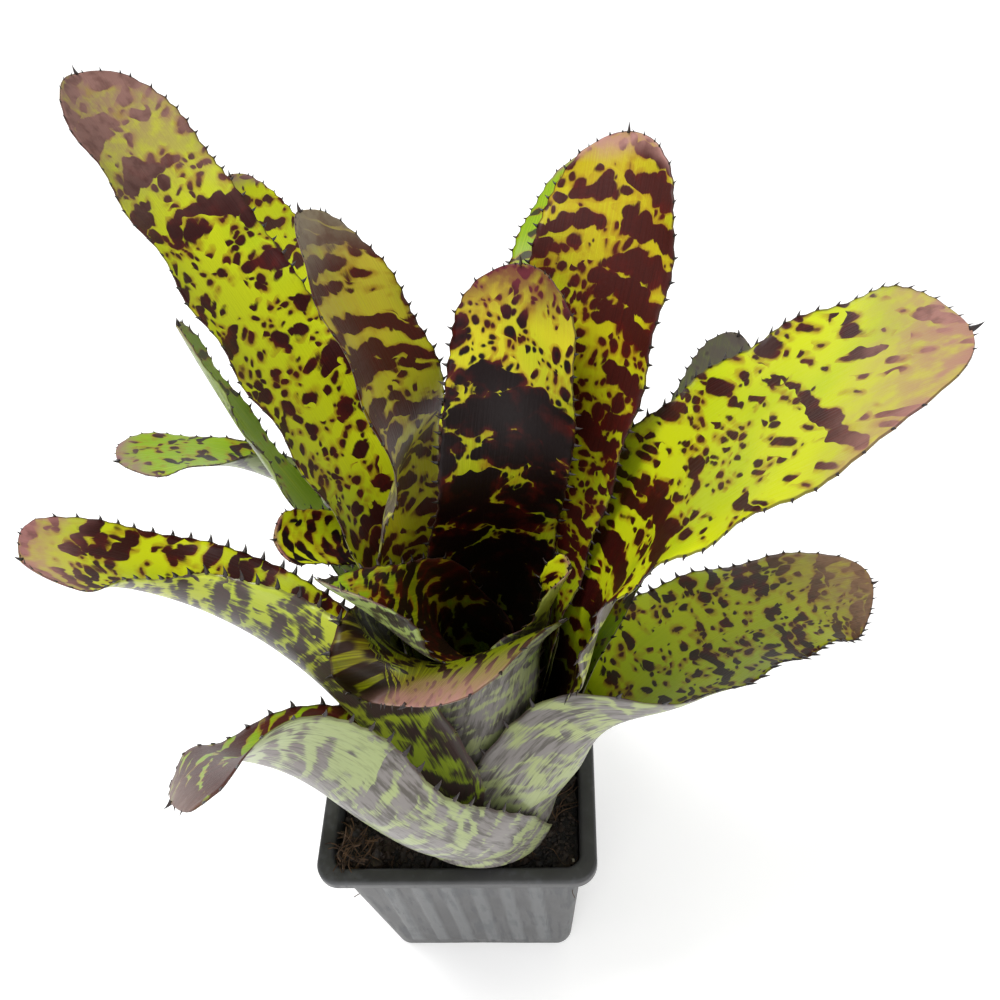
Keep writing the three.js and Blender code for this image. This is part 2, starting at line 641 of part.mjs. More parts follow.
// The solids of all leaves. Where two press on each other, the outer one gives way.
function settled(leaves) {
  const bodies = leaves.map((leaf, index) => solid(leafGeometry(leaf, index)));
  return bodies.map((body, index) => {
    let kept = body;
    for (let inner = index + 1; inner < leaves.length; inner++) {
      if (body.intersect(bodies[inner]).volume() < TOUCH) continue;
      const leaf = leaves[inner];
      const wider = { ...leaf, half: leaf.half + CLEARANCE, wrap: leaf.wrap + CLEARANCE_WRAP };
      kept = kept.subtract(solid(leafGeometry(wider, inner, CLEARANCE)));
    }
    return largest(kept);
  });
}

// ---- The part ----
const group = new THREE.Group();
group.add(pot(), pottingMix());
const plant = new THREE.Group();
plant.position.z = POT_HEIGHT;
plant.add(stem());
settled(LEAVES).forEach((body, index) => {
  const name = "leaf_" + String(index + 1).padStart(2, "0");
  plant.add(named(name, geometryOf(body), LEAF_GREEN));
});
group.add(plant);

export default group;
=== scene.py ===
# A spotted neoregelia rosette in its square nursery pot, dressed around its solids.
# Metres, +Z up, as in the frame. The plant's own sizes are millimetres from the middle of the pot's rim.
import math

import bpy
import numpy as np
from mathutils import Matrix, Vector


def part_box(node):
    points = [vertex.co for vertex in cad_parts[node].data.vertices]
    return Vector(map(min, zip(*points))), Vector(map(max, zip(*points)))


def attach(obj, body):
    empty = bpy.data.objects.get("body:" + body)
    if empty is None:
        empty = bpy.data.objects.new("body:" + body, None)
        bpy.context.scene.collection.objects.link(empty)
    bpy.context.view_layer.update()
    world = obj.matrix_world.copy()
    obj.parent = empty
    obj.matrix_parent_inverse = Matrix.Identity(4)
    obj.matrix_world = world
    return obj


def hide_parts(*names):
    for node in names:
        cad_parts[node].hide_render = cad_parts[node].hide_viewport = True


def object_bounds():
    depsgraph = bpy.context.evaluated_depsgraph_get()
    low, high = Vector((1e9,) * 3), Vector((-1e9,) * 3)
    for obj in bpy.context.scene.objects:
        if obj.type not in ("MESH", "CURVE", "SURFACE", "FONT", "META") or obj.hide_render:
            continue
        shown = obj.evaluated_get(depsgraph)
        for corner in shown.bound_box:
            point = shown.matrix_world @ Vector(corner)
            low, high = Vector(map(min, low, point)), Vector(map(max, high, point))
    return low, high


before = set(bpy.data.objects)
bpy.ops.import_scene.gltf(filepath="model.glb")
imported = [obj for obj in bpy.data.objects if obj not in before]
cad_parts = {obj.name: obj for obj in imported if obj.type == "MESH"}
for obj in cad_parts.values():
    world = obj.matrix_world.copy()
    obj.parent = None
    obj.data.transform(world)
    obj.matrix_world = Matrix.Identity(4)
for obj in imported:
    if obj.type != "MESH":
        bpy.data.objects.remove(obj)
SOLID_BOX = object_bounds()
MM = 0.001
BODY = "root"

# ---- Camera ----
LENS = 37.15
SENSOR = 36
NEAREST = 0.01  # metres
CAMERA_PLACE = (45.03, -163.74, 414.22)  # millimetres from the middle of the pot's base
CAMERA_YAW = -0.125
CAMERA_DOWN = 0.856
CAMERA_ROLL = -0.130


def make_camera():
    yaw, down, roll = CAMERA_YAW, CAMERA_DOWN, CAMERA_ROLL
    ahead = Vector((math.sin(yaw) * math.cos(down), math.cos(yaw) * math.cos(down), -math.sin(down)))
    level = Vector((math.cos(yaw), -math.sin(yaw), 0))
    upright = level.cross(ahead)
    right = level * math.cos(roll) + upright * math.sin(roll)
    up = upright * math.cos(roll) - level * math.sin(roll)
    lens = bpy.data.cameras.new("camera")
    lens.sensor_width = SENSOR
    lens.lens = LENS
    lens.clip_start = NEAREST
    camera = bpy.data.objects.new("camera", lens)
    turn = Matrix((right, up, -ahead)).transposed()
    camera.matrix_world = Matrix.Translation(Vector(CAMERA_PLACE) * MM) @ turn.to_4x4()
    bpy.context.scene.collection.objects.link(camera)
    bpy.context.scene.camera = camera


make_camera()


def unit(v):
    return v / np.linalg.norm(v, axis=-1, keepdims=True)


# ---- Plant, in millimetres ----
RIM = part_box("pot")[1].z / MM
FOOT = np.array([5.0, -17.5, -10.0])  # where the stem's line starts
LINE = unit(np.array([14.0, 17.5, 98.0]))
FLARE = math.tan(math.radians(5))
OUTER_BASE = 26.0
NEST_PITCH = 1.2
BLADE = 0.65
MARGIN = 0.3  # thickness at the margin
CUP_DEPTH = 10.0
CUP_FLOOR = 2.0
STEM_RADIUS = 7.5
STEM_TIP_RADIUS = 2.2
STEM_SHOULDER = 1.0
STEM_TOP = 26.0
LEAF_SEAT = 0.45
FOOT_WRAP = 0.75

# How a blade changes along its length: shares of the length, from the nest to the tip.
FACED = 0.6
OPENED = 0.18
TWISTED = 0.5
TWISTS_ON = 0.4
CURL_CHANGES = 0.45
CURL_CHANGED = 0.95
END_POWER = 2.4
FLATTEST = 1e-3  # least angle of a blade's arc

# One entry a leaf, from the outermost base inwards, as in the solids.
LEAF_SIZES = [
    # low front left, arched over
    dict(turn=241, leave=17.3, tip=(-64, -52, 76), heading=242, climb=-15, rise=36, ease=37,
         half=37.1, curl=(158, -5), twist=(-17, 53), taper=0.96, neck=0.38, wrap=179, lean=45),
    # long left
    dict(turn=206, leave=32.8, tip=(-113, 8, 103), heading=208, climb=41, rise=52, ease=62,
         half=26.5, curl=(164, 43), twist=(33, 17), taper=0.89, neck=0.79, wrap=160, lean=11),
    # low right
    dict(turn=-53, leave=28.5, tip=(137, 36, 41), heading=-3, climb=15, rise=55, ease=56,
         half=31.4, curl=(59, 5), twist=(-29, -27), taper=0.85, neck=0.57, wrap=123, lean=11),
    # slim left
    dict(turn=118, leave=37.8, tip=(-103, 57, 90), heading=214, climb=18, rise=21, ease=67,
         half=20.2, curl=(144, 11), twist=(37, 16), taper=0.89, neck=0.43, wrap=109, lean=8),
    # green strip behind the tall left leaf
    dict(turn=155, leave=53.7, tip=(-61, 47, 152), heading=167, climb=81, rise=35, ease=76,
         half=10.4, curl=(66, 54), twist=(28, 38), taper=0.83, neck=0.25, wrap=135, lean=8),
    # small one at the back right
    dict(turn=37, leave=48.9, tip=(89, 57, 131), heading=42, climb=83, rise=45, ease=55,
         half=14.2, curl=(59, 24), twist=(-6, 2), taper=0.75, neck=0.31, wrap=165, lean=6),
    # wide cup at the front
    dict(turn=222, leave=55.3, tip=(1, -42, 106), heading=233, climb=-1, rise=26, ease=32,
         half=30.3, curl=(95, -16), twist=(31, 45), taper=0.86, neck=1.05, wrap=158, lean=-7),
    # behind the tallest
    dict(turn=54, leave=67, tip=(-70, 142, 138), heading=144, climb=77, rise=39, ease=85,
         half=18.5, curl=(28, 48), twist=(7, 0), taper=0.72, neck=0.2, wrap=104, lean=10),
    # short, left, with a curled end
    dict(turn=148, leave=62.9, tip=(-42, 14, 101), heading=213, climb=34, rise=35, ease=73,
         half=9, curl=(94, 54), twist=(-26, -33), taper=0.91, neck=0.22, wrap=139, lean=22),
    # broad right
    dict(turn=22, leave=64.3, tip=(112, -25, 200), heading=-1, climb=20, rise=50, ease=35,
         half=31.2, curl=(51, 0), twist=(-12, -19), taper=0.8, neck=0.28, wrap=106, lean=3),
    # tallest, back left
    dict(turn=169, leave=65.6, tip=(-86, 98, 197), heading=139, climb=46, rise=36, ease=119,
         half=20.5, curl=(74, 64), twist=(17, 25), taper=0.87, neck=0.2, wrap=105, lean=2),
    # mauve-tipped, left of the middle
    dict(turn=144, leave=74.5, tip=(-22, 52, 181), heading=134, climb=55, rise=94, ease=110,
         half=21, curl=(50, 48), twist=(31, 37), taper=0.7, neck=0.3, wrap=110, lean=24),
    # green strip behind the back leaf
    dict(turn=79, leave=75.7, tip=(50, 108, 159), heading=77, climb=24, rise=46, ease=55,
         half=17.7, curl=(58, 23), twist=(4, -30), taper=0.79, neck=0.35, wrap=167, lean=0),
    # broad back
    dict(turn=72, leave=83, tip=(59, 67, 188), heading=74, climb=45, rise=37, ease=80,
         half=19.8, curl=(57, 46), twist=(-10, -17), taper=0.76, neck=0.29, wrap=162, lean=3),
    # upright, middle
    dict(turn=100, leave=91.9, tip=(32, 40, 171), heading=80, climb=53, rise=26, ease=69,
         half=17.4, curl=(42, 40), twist=(12, -23), taper=0.81, neck=0.32, wrap=168, lean=-1),
    # short, inside the wide cup
    dict(turn=168, leave=75, tip=(-13, -22, 126), heading=201, climb=73, rise=36, ease=50,
         half=17.2, curl=(98, 17), twist=(-10, 40), taper=0.79, neck=0.21, wrap=215, lean=-4),
    # youngest, rolled around the growing point
    dict(turn=330, leave=97.5, tip=(41, -8, 113), heading=350, climb=64, rise=8, ease=9,
         half=9, curl=(120, 90), twist=(0, -1), taper=0.6, neck=0.32, wrap=122, lean=0),
]

ACROSS = np.array([1.0, 0, 0]) - LINE[0] * LINE
ACROSS /= np.linalg.norm(ACROSS)
AWAY = np.cross(LINE, ACROSS)


def smooth(x):
    x = np.clip(x, 0.0, 1.0)
    return x * x * (3 - 2 * x)


def outward(angle):
    angle = np.asarray(angle)[..., None]
    return ACROSS * np.cos(angle) + AWAY * np.sin(angle)


def sideways(angle):
    return outward(np.asarray(angle) + math.pi / 2)


def level(angle):
    return np.array([math.cos(angle), math.sin(angle), 0.0])


def base_floor(index):
    return CUP_FLOOR + NEST_PITCH * index


def base_radius(index, height):
    share = np.clip((height - STEM_SHOULDER) / (STEM_TOP - STEM_SHOULDER), 0, 1)
    seat = STEM_RADIUS + (STEM_TIP_RADIUS - STEM_RADIUS) * share + LEAF_SEAT + BLADE / 2
    up = np.clip((height - base_floor(index)) / CUP_DEPTH, 0, 1)
    wall = OUTER_BASE - NEST_PITCH * index + FLARE * height
    return np.maximum(wall * np.sqrt(1 - (1 - up) ** 2), seat)


class Midrib:
    """The line along the middle of a blade, by share of its length."""

    STEPS = 400

    def __init__(self, leaf, index):
        out = outward(math.radians(leaf["turn"]))
        start = FOOT + LINE * leaf["leave"] + out * base_radius(index, leaf["leave"])
        lean = math.radians(leaf["lean"])
        away = unit(unit(LINE + out * FLARE) * math.cos(lean) + out * math.sin(lean))
        tip = np.array(leaf["tip"], float)
        climb = math.radians(leaf["climb"])
        ending = level(math.radians(leaf["heading"])) * math.cos(climb)
        ending[2] = math.sin(climb)
        self.points = [start, start + away * leaf["rise"], tip - ending * leaf["ease"], tip]
        self.t = np.linspace(0, 1, self.STEPS + 1)
        steps = np.linalg.norm(np.diff(self._at(self.t), axis=0), axis=1)
        self.reached = np.concatenate([[0], np.cumsum(steps)])
        self.length = self.reached[-1]

    def _at(self, t):
        a, b, c, d = self.points
        t = t[:, None]
        return a * (1 - t) ** 3 + 3 * b * t * (1 - t) ** 2 + 3 * c * t * t * (1 - t) + d * t ** 3

    def place(self, s):
        """Points and directions at shares s of the length."""
        t = np.interp(s * self.length, self.reached, self.t)
        a, b, c, d = self.points
        u = t[:, None]
        along = (b - a) * (1 - u) ** 2 + 2 * (c - b) * u * (1 - u) + (d - c) * u * u
        return self._at(t), unit(along)


def blade_rows(leaf, index, midrib, s, v):
    """Points across the blade: s runs along it, v across each row, from -1 to 1. Returns half widths too."""
    centre, along = midrib.place(s)
    turn, wrap = math.radians(leaf["turn"]), math.radians(leaf["wrap"])
    out = outward(turn)
    faced = smooth(s / FACED)[:, None]
    facing = level(math.radians(leaf["heading"]) + math.pi / 2)
    across = unit(sideways(turn) * (1 - faced) + facing * faced)
    across = unit(across - np.sum(across * along, axis=1, keepdims=True) * along)
    first, last = leaf["twist"]
    roll = first * smooth(s / TWISTED) + (last - first) * smooth((s - TWISTS_ON) / (1 - TWISTS_ON))
    roll = np.radians(roll)[:, None]
    side = across * np.cos(roll) + np.cross(along, across) * np.sin(roll)
    up = np.cross(along, side)
    opened = smooth(s / OPENED)[:, None]
    inward = unit(-out * (1 - opened) + up * opened)
    narrow = smooth(s / leaf["neck"])
    middle, end = np.radians(leaf["curl"])
    onward = smooth((s - CURL_CHANGES) / (CURL_CHANGED - CURL_CHANGES))
    arc = wrap * (1 - narrow) + middle * narrow + (end - middle) * onward
    arc = np.where(np.abs(arc) < FLATTEST, FLATTEST, arc)
    rounded = np.clip((s - leaf["taper"]) / (1 - leaf["taper"]), 0, 1)
    wide = base_radius(index, leaf["leave"]) * wrap / 2
    half = (wide * (1 - narrow) + leaf["half"] * narrow) * np.sqrt(1 - rounded ** END_POWER)
    radius = (2 * half / arc)[:, None]
    angle = v * arc[:, None] / 2
    points = centre[:, None] + side[:, None] * (radius * np.sin(angle))[..., None]
    points += inward[:, None] * (radius * (1 - np.cos(angle)))[..., None]
    return points, half


def base_rows(leaf, index, heights, v):
    floor = base_floor(index)
    share = (heights - floor) / (leaf["leave"] - floor)
    wrap = math.radians(leaf["wrap"]) * (FOOT_WRAP + (1 - FOOT_WRAP) * smooth(share))
    angle = math.radians(leaf["turn"]) + v * wrap[:, None] / 2
    radius = base_radius(index, heights)
    return FOOT + LINE * heights[:, None, None] + outward(angle) * radius[:, None, None]


# ---- Margins and spines ----
FIRST_SEED = 100
SPINE_PITCH = 5.6
TIP_PITCH = 3.9
PITCH_SPREAD = 0.22
LAST_STOP = 0.985  # share of the length past which no pair of spines starts
FIRST_SPINE = 0.05  # share of the length from which the margins have spines
SPINE_HEIGHT = 2.1
LONG_SPINE_HEIGHT = 3.2
LONG_SPINED = (1, 2, 3, 7)
FOOT_SPINES = 0.55  # how tall spines are at the foot, of their full height
FOOT_SPINES_END = 0.2
END_SPINES = 0.55  # how tall they are where the tip starts
END_SPINES_START = 0.55
TIP_SPINES = 0.5  # how tall they are round the tip
TIP_SPINE_HEIGHT = 2.6
LEAST_SPINE = 0.5
SPINE_LEAN = 0.3  # how far forward a spine may reach, in its heights
SPINE_STEP_BACK = 1.3  # how much it is shortened for each millimetre past the solids' box
SCALLOP = 0.55  # how far the margin draws in between two spines
SCALLOP_START = 0.02
SCALLOP_GROWS = 0.08
SCALLOP_POWER = 4  # how close to the margin it stays
RIPPLE = 0.9  # how far the margin waves up and down
RIPPLE_PITCH = 27.0
RIPPLE_LAG = 0.37  # how far one margin's waves are behind the other's, in waves
RIPPLE_ENDS = 0.85
RIPPLE_POWER = 3
MARGIN_POWER = 6  # how close to the margin the blade thins
LEAST_HALF = 3.0
ROWS_PER_SPINE = 4
COLUMNS = 26
BASE_STEPS = 7
BASE_POWER = 1.5  # crowds the first rows at the foot
BASE_PHASE = 0.1  # no spine stands at this phase
END_STEPS = 6
END_REACH = 0.9995  # the last row keeps a little width
SCALE_SPAN = 6  # rows to each side over which the unrolled sheet's scale is evened out


def spine_stops(midrib, random):
    """Shares of the length at which the left margin has a spine."""
    stops = [0.0]
    while stops[-1] < LAST_STOP:
        s = stops[-1]
        pitch = SPINE_PITCH + (TIP_PITCH - SPINE_PITCH) * s
        pitch *= 1 + PITCH_SPREAD * (2 * random.random() - 1)
        stops.append(s + pitch / midrib.length)
    return np.array(stops[:-1])


def leaf_grid(leaf, index):
    """The leaf's middle surface as a grid, with what its finish and its spines need."""
    random = np.random.default_rng(FIRST_SEED + index)
    midrib = Midrib(leaf, index)
    stops = spine_stops(midrib, random)
    phase = np.arange((len(stops) - 1) * ROWS_PER_SPINE + 1) / ROWS_PER_SPINE
    s = np.interp(phase, np.arange(len(stops)), stops)
    closing = 1 - (1 - np.arange(1, END_STEPS + 1) / END_STEPS) ** 2
    phase = np.concatenate([phase, phase[-1] + np.linspace(0, 0.5, END_STEPS + 1)[1:]])
    s = np.concatenate([s, s[-1] + (1 - s[-1]) * closing * END_REACH])
    v = np.linspace(-1, 1, COLUMNS + 1)
    started = smooth((s - SCALLOP_START) / SCALLOP_GROWS)
    _, half = blade_rows(leaf, index, midrib, s, v[None])
    dip = SCALLOP * started / np.maximum(half, LEAST_HALF)
    wave = 0.5 * np.cos(2 * math.pi * phase)
    left, right = dip * (0.5 - wave), dip * (0.5 + wave)
    draw = np.where(v[None] < 0, left[:, None], right[:, None]) * np.abs(v[None]) ** SCALLOP_POWER
    points, _ = blade_rows(leaf, index, midrib, s, v[None] * (1 - draw))
    waves = s[:, None] * midrib.length / RIPPLE_PITCH + np.where(v[None] < 0, 0.0, RIPPLE_LAG)
    ripple = RIPPLE * np.sin(2 * math.pi * (waves + random.random())) * np.abs(v[None]) ** RIPPLE_POWER
    ripple = ripple * (started * (1 - smooth((s - RIPPLE_ENDS) / (1 - RIPPLE_ENDS))))[:, None]
    points = points + grid_normals(points) * ripple[..., None]
    floor = base_floor(index)
    rise = floor + (leaf["leave"] - floor) * np.linspace(0, 1, BASE_STEPS + 1)[:-1] ** BASE_POWER
    points = np.concatenate([base_rows(leaf, index, rise, v[None]), points])
    return {
        "points": points,
        "normals": grid_normals(points),
        "share": np.concatenate([(rise - leaf["leave"]) / midrib.length, s]),
        "phase": np.concatenate([np.full(BASE_STEPS, BASE_PHASE), phase]),
        "v": v,
        "tip": midrib.place(np.array([1.0])),
    }


def grid_normals(points):
    du = np.gradient(points, axis=0)
    dv = np.gradient(points, axis=1)
    return unit(np.cross(du, dv))


def leaf_spines(grid, tall):
    """Which vertices carry a spine, with its outward and forward directions and its height."""
    points, phase, share = grid["points"], grid["phase"], grid["share"]
    rows = len(points)
    forward = unit(np.gradient(points, axis=0))
    spines = []

    def add(row, column, size):
        inner = 2 if column == 0 else column - 2
        ahead = forward[row, column]
        out = points[row, column] - points[row, inner]
        out = unit(out - ahead * (out @ ahead))
        spines.append((row, column, out, ahead, size))

    for column, offset in ((0, 0.0), (COLUMNS, 0.5)):
        for row in range(BASE_STEPS, rows - END_STEPS):
            if abs((phase[row] - offset) % 1.0) > 1e-6 or share[row] < FIRST_SPINE:
                continue
            ending = smooth((share[row] - END_SPINES_START) / (1 - END_SPINES_START))
            rising = smooth((share[row] - FIRST_SPINE) / FOOT_SPINES_END)
            size = tall * (1 - (1 - END_SPINES) * ending)
            add(row, column, size * (FOOT_SPINES + (1 - FOOT_SPINES) * rising))
    for row in range(rows - END_STEPS, rows - 1, 2):
        for column in (0, COLUMNS):
            add(row, column, TIP_SPINES * tall)
    hook = grid["normals"][rows - 2, COLUMNS // 2]
    spines.append((rows - 1, COLUMNS // 2, grid["tip"][1][0], hook, TIP_SPINE_HEIGHT))
    return spines


def plain_mesh(name, vertices, faces):
    mesh = bpy.data.meshes.new(name)
    mesh.from_pydata([tuple(p) for p in vertices], [], [tuple(int(i) for i in f) for f in faces])
    mesh.polygons.foreach_set("use_smooth", [True] * len(mesh.polygons))
    mesh.update()
    return mesh


def attribute(mesh, name, values):
    """Gives every vertex a number or a vector."""
    values = np.ascontiguousarray(values, dtype=np.float32)
    kind, field = ("FLOAT", "value") if values.ndim == 1 else ("FLOAT_VECTOR", "vector")
    mesh.attributes.new(name, kind, "POINT").data.foreach_set(field, values.ravel())


def quads(*corners):
    return np.stack(corners, -1).reshape(-1, 4)


def cells(number):
    """The four corners of every cell of a grid of vertex numbers."""
    return number[:-1, :-1], number[1:, :-1], number[1:, 1:], number[:-1, 1:]


def unrolled(points):
    """The grid laid flat at true angles: how far each point is across and along its own middle line."""
    rows, columns = points.shape[:2]
    number = np.arange(rows * columns).reshape(rows, columns)
    mesh = plain_mesh("unrolled", points.reshape(-1, 3), quads(*cells(number)))
    mesh.uv_layers.new(name="flat")
    sheet = bpy.data.objects.new("unrolled", mesh)
    bpy.context.scene.collection.objects.link(sheet)
    bpy.context.view_layer.objects.active = sheet
    sheet.select_set(True)
    bpy.ops.object.mode_set(mode="EDIT")
    bpy.ops.mesh.select_all(action="SELECT")
    bpy.ops.uv.unwrap(method="CONFORMAL", margin=0)
    bpy.ops.object.mode_set(mode="OBJECT")
    corners = np.zeros(len(mesh.loops), np.int32)
    mesh.loops.foreach_get("vertex_index", corners)
    places = np.zeros(len(mesh.loops) * 2, np.float32)
    mesh.uv_layers[0].data.foreach_get("uv", places)
    flat = np.zeros((rows * columns, 2))
    flat[corners] = places.reshape(-1, 2)
    bpy.data.objects.remove(sheet)
    bpy.data.meshes.remove(mesh)
    middle = flat.reshape(rows, columns, 2)[:, columns // 2]
    steps = np.diff(middle, axis=0)
    lengths = np.linalg.norm(steps, axis=1)
    true = np.linalg.norm(np.diff(points[:, columns // 2], axis=0), axis=1)
    reached = np.concatenate([[0], np.cumsum(true)])[:-1]
    padded = np.pad(true / lengths, SCALE_SPAN, mode="edge")
    window = 2 * SCALE_SPAN + 1
    scale = np.convolve(padded, np.full(window, 1 / window), mode="valid")
    off = flat[:, None] - middle[None, :-1]
    share = np.clip((off * steps).sum(2) / lengths ** 2, 0, 1)
    apart = off - share[..., None] * steps
    nearest = np.argmin((apart ** 2).sum(2), axis=1)
    pick = np.arange(len(flat)), nearest
    turned = steps[nearest, 0] * apart[pick][:, 1] - steps[nearest, 1] * apart[pick][:, 0]
    across = np.sign(turned) * np.linalg.norm(apart[pick], axis=1) * scale[nearest]
    along = reached[nearest] + share[pick] * true[nearest]
    return across.reshape(rows, columns), along.reshape(rows, columns)


def leaf_mesh(name, leaf, index):
    grid = leaf_grid(leaf, index)
    points, normals = grid["points"], grid["normals"]
    rows, columns = points.shape[:2]
    edge = np.abs(grid["v"][None]) ** MARGIN_POWER * np.ones((rows, 1))
    half_thick = normals * (BLADE + (MARGIN - BLADE) * edge)[..., None] / 2
    lift = np.array([0, 0, RIM])
    number = np.arange(rows * columns).reshape(rows, columns)
    low = number + rows * columns
    a, b, c, d = cells(low)
    faces = [
        quads(*cells(number)),
        quads(a, d, c, b),
        quads(number[:-1, 0], low[:-1, 0], low[1:, 0], number[1:, 0]),
        quads(number[:-1, -1], number[1:, -1], low[1:, -1], low[:-1, -1]),
        quads(number[0, :-1], number[0, 1:], low[0, 1:], low[0, :-1]),
        quads(number[-1, :-1], low[-1, :-1], low[-1, 1:], number[-1, 1:]),
    ]
    skins = [(points + half_thick + lift).reshape(-1, 3), (points - half_thick + lift).reshape(-1, 3)]
    mesh = plain_mesh(name, np.concatenate(skins) * MM, np.concatenate(faces))
    across, along = unrolled(points)
    share = np.broadcast_to(grid["share"][:, None], (rows, columns))
    v = np.broadcast_to(grid["v"][None], (rows, columns))
    places = [np.stack([across, along, np.full((rows, columns), side)], -1) for side in (1.0, 0.0)]
    attribute(mesh, "place", np.concatenate(places))
    reaches = np.stack([v, share, np.zeros((rows, columns))], -1)
    attribute(mesh, "reach", np.concatenate([reaches, reaches]))
    count = rows * columns * 2
    outs, aheads, sizes = np.zeros((count, 3)), np.zeros((count, 3)), np.zeros(count)
    tall = LONG_SPINE_HEIGHT if index + 1 in LONG_SPINED else SPINE_HEIGHT
    box = np.array([list(corner) for corner in SOLID_BOX]) / MM
    for row, column, out, ahead, size in leaf_spines(grid, tall):
        at = number[row, column]
        reach = points[row, column] + lift + (out + SPINE_LEAN * ahead) * size
        past = max((box[0] - reach).max(), (reach - box[1]).max(), 0.0)
        outs[at], aheads[at] = out, ahead
        sizes[at] = max(size - SPINE_STEP_BACK * past, LEAST_SPINE) * MM
    attribute(mesh, "spine_out", outs)
    attribute(mesh, "spine_ahead", aheads)
    attribute(mesh, "spine_size", sizes)
    return mesh


# ---- Nodes: small classes that add and link them, with sockets that can stand in a sum ----
def maths(operation, swapped=False):
    """A method that adds a maths node for one operation."""

    def method(self, *others):
        values = (*others, self) if swapped else (self, *others)
        return self.nodes.add("ShaderNodeMath", {"operation": operation}, *values)

    return method


class Value:
    """A node's output, with which other nodes are made by plain sums."""

    __add__ = __radd__ = maths("ADD")
    __mul__ = __rmul__ = maths("MULTIPLY")
    __sub__ = maths("SUBTRACT")
    __rsub__ = maths("SUBTRACT", swapped=True)
    __truediv__ = maths("DIVIDE")
    __rtruediv__ = maths("DIVIDE", swapped=True)
    __pow__ = maths("POWER")
    __abs__ = maths("ABSOLUTE")
    fraction = maths("FRACT")
    most = maths("MAXIMUM")

    def __init__(self, nodes, socket):
        self.nodes = nodes
        self.socket = socket

    def ramp(self, low, high):
        """0 below low, 1 above high and a smooth change between."""
        return self.nodes.add("ShaderNodeMapRange", {"interpolation_type": "SMOOTHSTEP"}, self, low, high)


class Nodes:
    """A node tree to which nodes are added."""

    def __init__(self, tree):
        self.tree = tree

    def put(self, socket, value):
        if isinstance(value, Value):
            self.tree.links.new(value.socket, socket)
        elif value is not None:
            socket.default_value = value

    def add(self, kind, settings=None, *values, output=0, **named):
        """A node of that type: its settings, then its inputs in order or by name, with _ for a space."""
        node = self.tree.nodes.new(kind)
        for key, value in (settings or {}).items():
            setattr(node, key, value)
        for socket, value in zip(node.inputs, values):
            self.put(socket, value)
        for title, value in named.items():
            self.put(node.inputs[title.replace("_", " ")], value)
        return Value(self, node.outputs[output])

    def parts(self, vector):
        """The three numbers of a vector."""
        return [self.add("ShaderNodeSeparateXYZ", None, vector, output=k) for k in range(3)]

    def vector(self, x, y, z=0.0):
        return self.add("ShaderNodeCombineXYZ", None, x, y, z)


class Tree(Nodes):
    """Geometry nodes, with the geometry and the named numbers, seed and finish as inputs."""

    def __init__(self, name, *titles):
        super().__init__(bpy.data.node_groups.new(name, "GeometryNodeTree"))
        face = self.tree.interface
        kinds = {"Geometry": "Geometry", "Seed": "Int", "Finish": "Material"}
        self.inputs = {}
        for title in ("Geometry",) + titles:
            kind = "NodeSocket" + kinds.get(title, "Float")
            self.inputs[title] = face.new_socket(title, in_out="INPUT", socket_type=kind).identifier
        face.new_socket("Geometry", in_out="OUTPUT", socket_type="NodeSocketGeometry")
        self.entry = self.tree.nodes.new("NodeGroupInput")
        self.exit = self.tree.nodes.new("NodeGroupOutput")

    def input(self, title="Geometry"):
        return Value(self, self.entry.outputs[title])

    def attribute(self, name, kind="FLOAT"):
        return self.add("GeometryNodeInputNamedAttribute", {"data_type": kind}, Name=name)

    def above(self, value, limit):
        settings = {"data_type": "FLOAT", "operation": "GREATER_THAN"}
        return self.add("FunctionNodeCompare", settings, value, limit)

    def instances(self, points, shape, rotation, size):
        """The shape on every point, real and with its finish."""
        placed = self.add("GeometryNodeInstanceOnPoints", Points=points, Instance=shape, Rotation=rotation,
                          Scale=size)
        real = self.add("GeometryNodeRealizeInstances", None, placed)
        return self.add("GeometryNodeSetMaterial", None, real, Material=self.input("Finish"))

    def join(self, *parts):
        joined = self.add("GeometryNodeJoinGeometry")
        for part in parts:
            self.put(joined.socket.node.inputs[0], part)
        return joined

    def finish(self, geometry):
        self.put(self.exit.inputs[0], geometry)
        return self


def evaluated(obj):
    """What the object's modifiers make of its mesh."""
    bpy.context.view_layer.update()
    graph = bpy.context.evaluated_depsgraph_get()
    return bpy.data.meshes.new_from_object(obj.evaluated_get(graph), depsgraph=graph)


def grown(obj, tree, values):
    """The mesh that the tree makes of the object, which is then removed; values are the tree's inputs."""
    modifier = obj.modifiers.new("grow", "NODES")
    modifier.node_group = tree.tree
    for title, value in values.items():
        modifier[tree.inputs[title]] = value
    mesh = evaluated(obj)
    obj.modifiers.remove(modifier)
    bpy.data.objects.remove(obj)
    return mesh


# The spine, in its own heights: the radius of its root, how far its tip leans forward, how thick it is for
# its width, and how deep it is set in the margin.
SPINE_SHAPE = {"Root": 0.3, "Hook": 0.28, "Flatness": 0.5, "Sunk": 0.16}
SPINE_POINT = 0.02
SPINE_SIDES = 8
SPINE_STEPS = 5


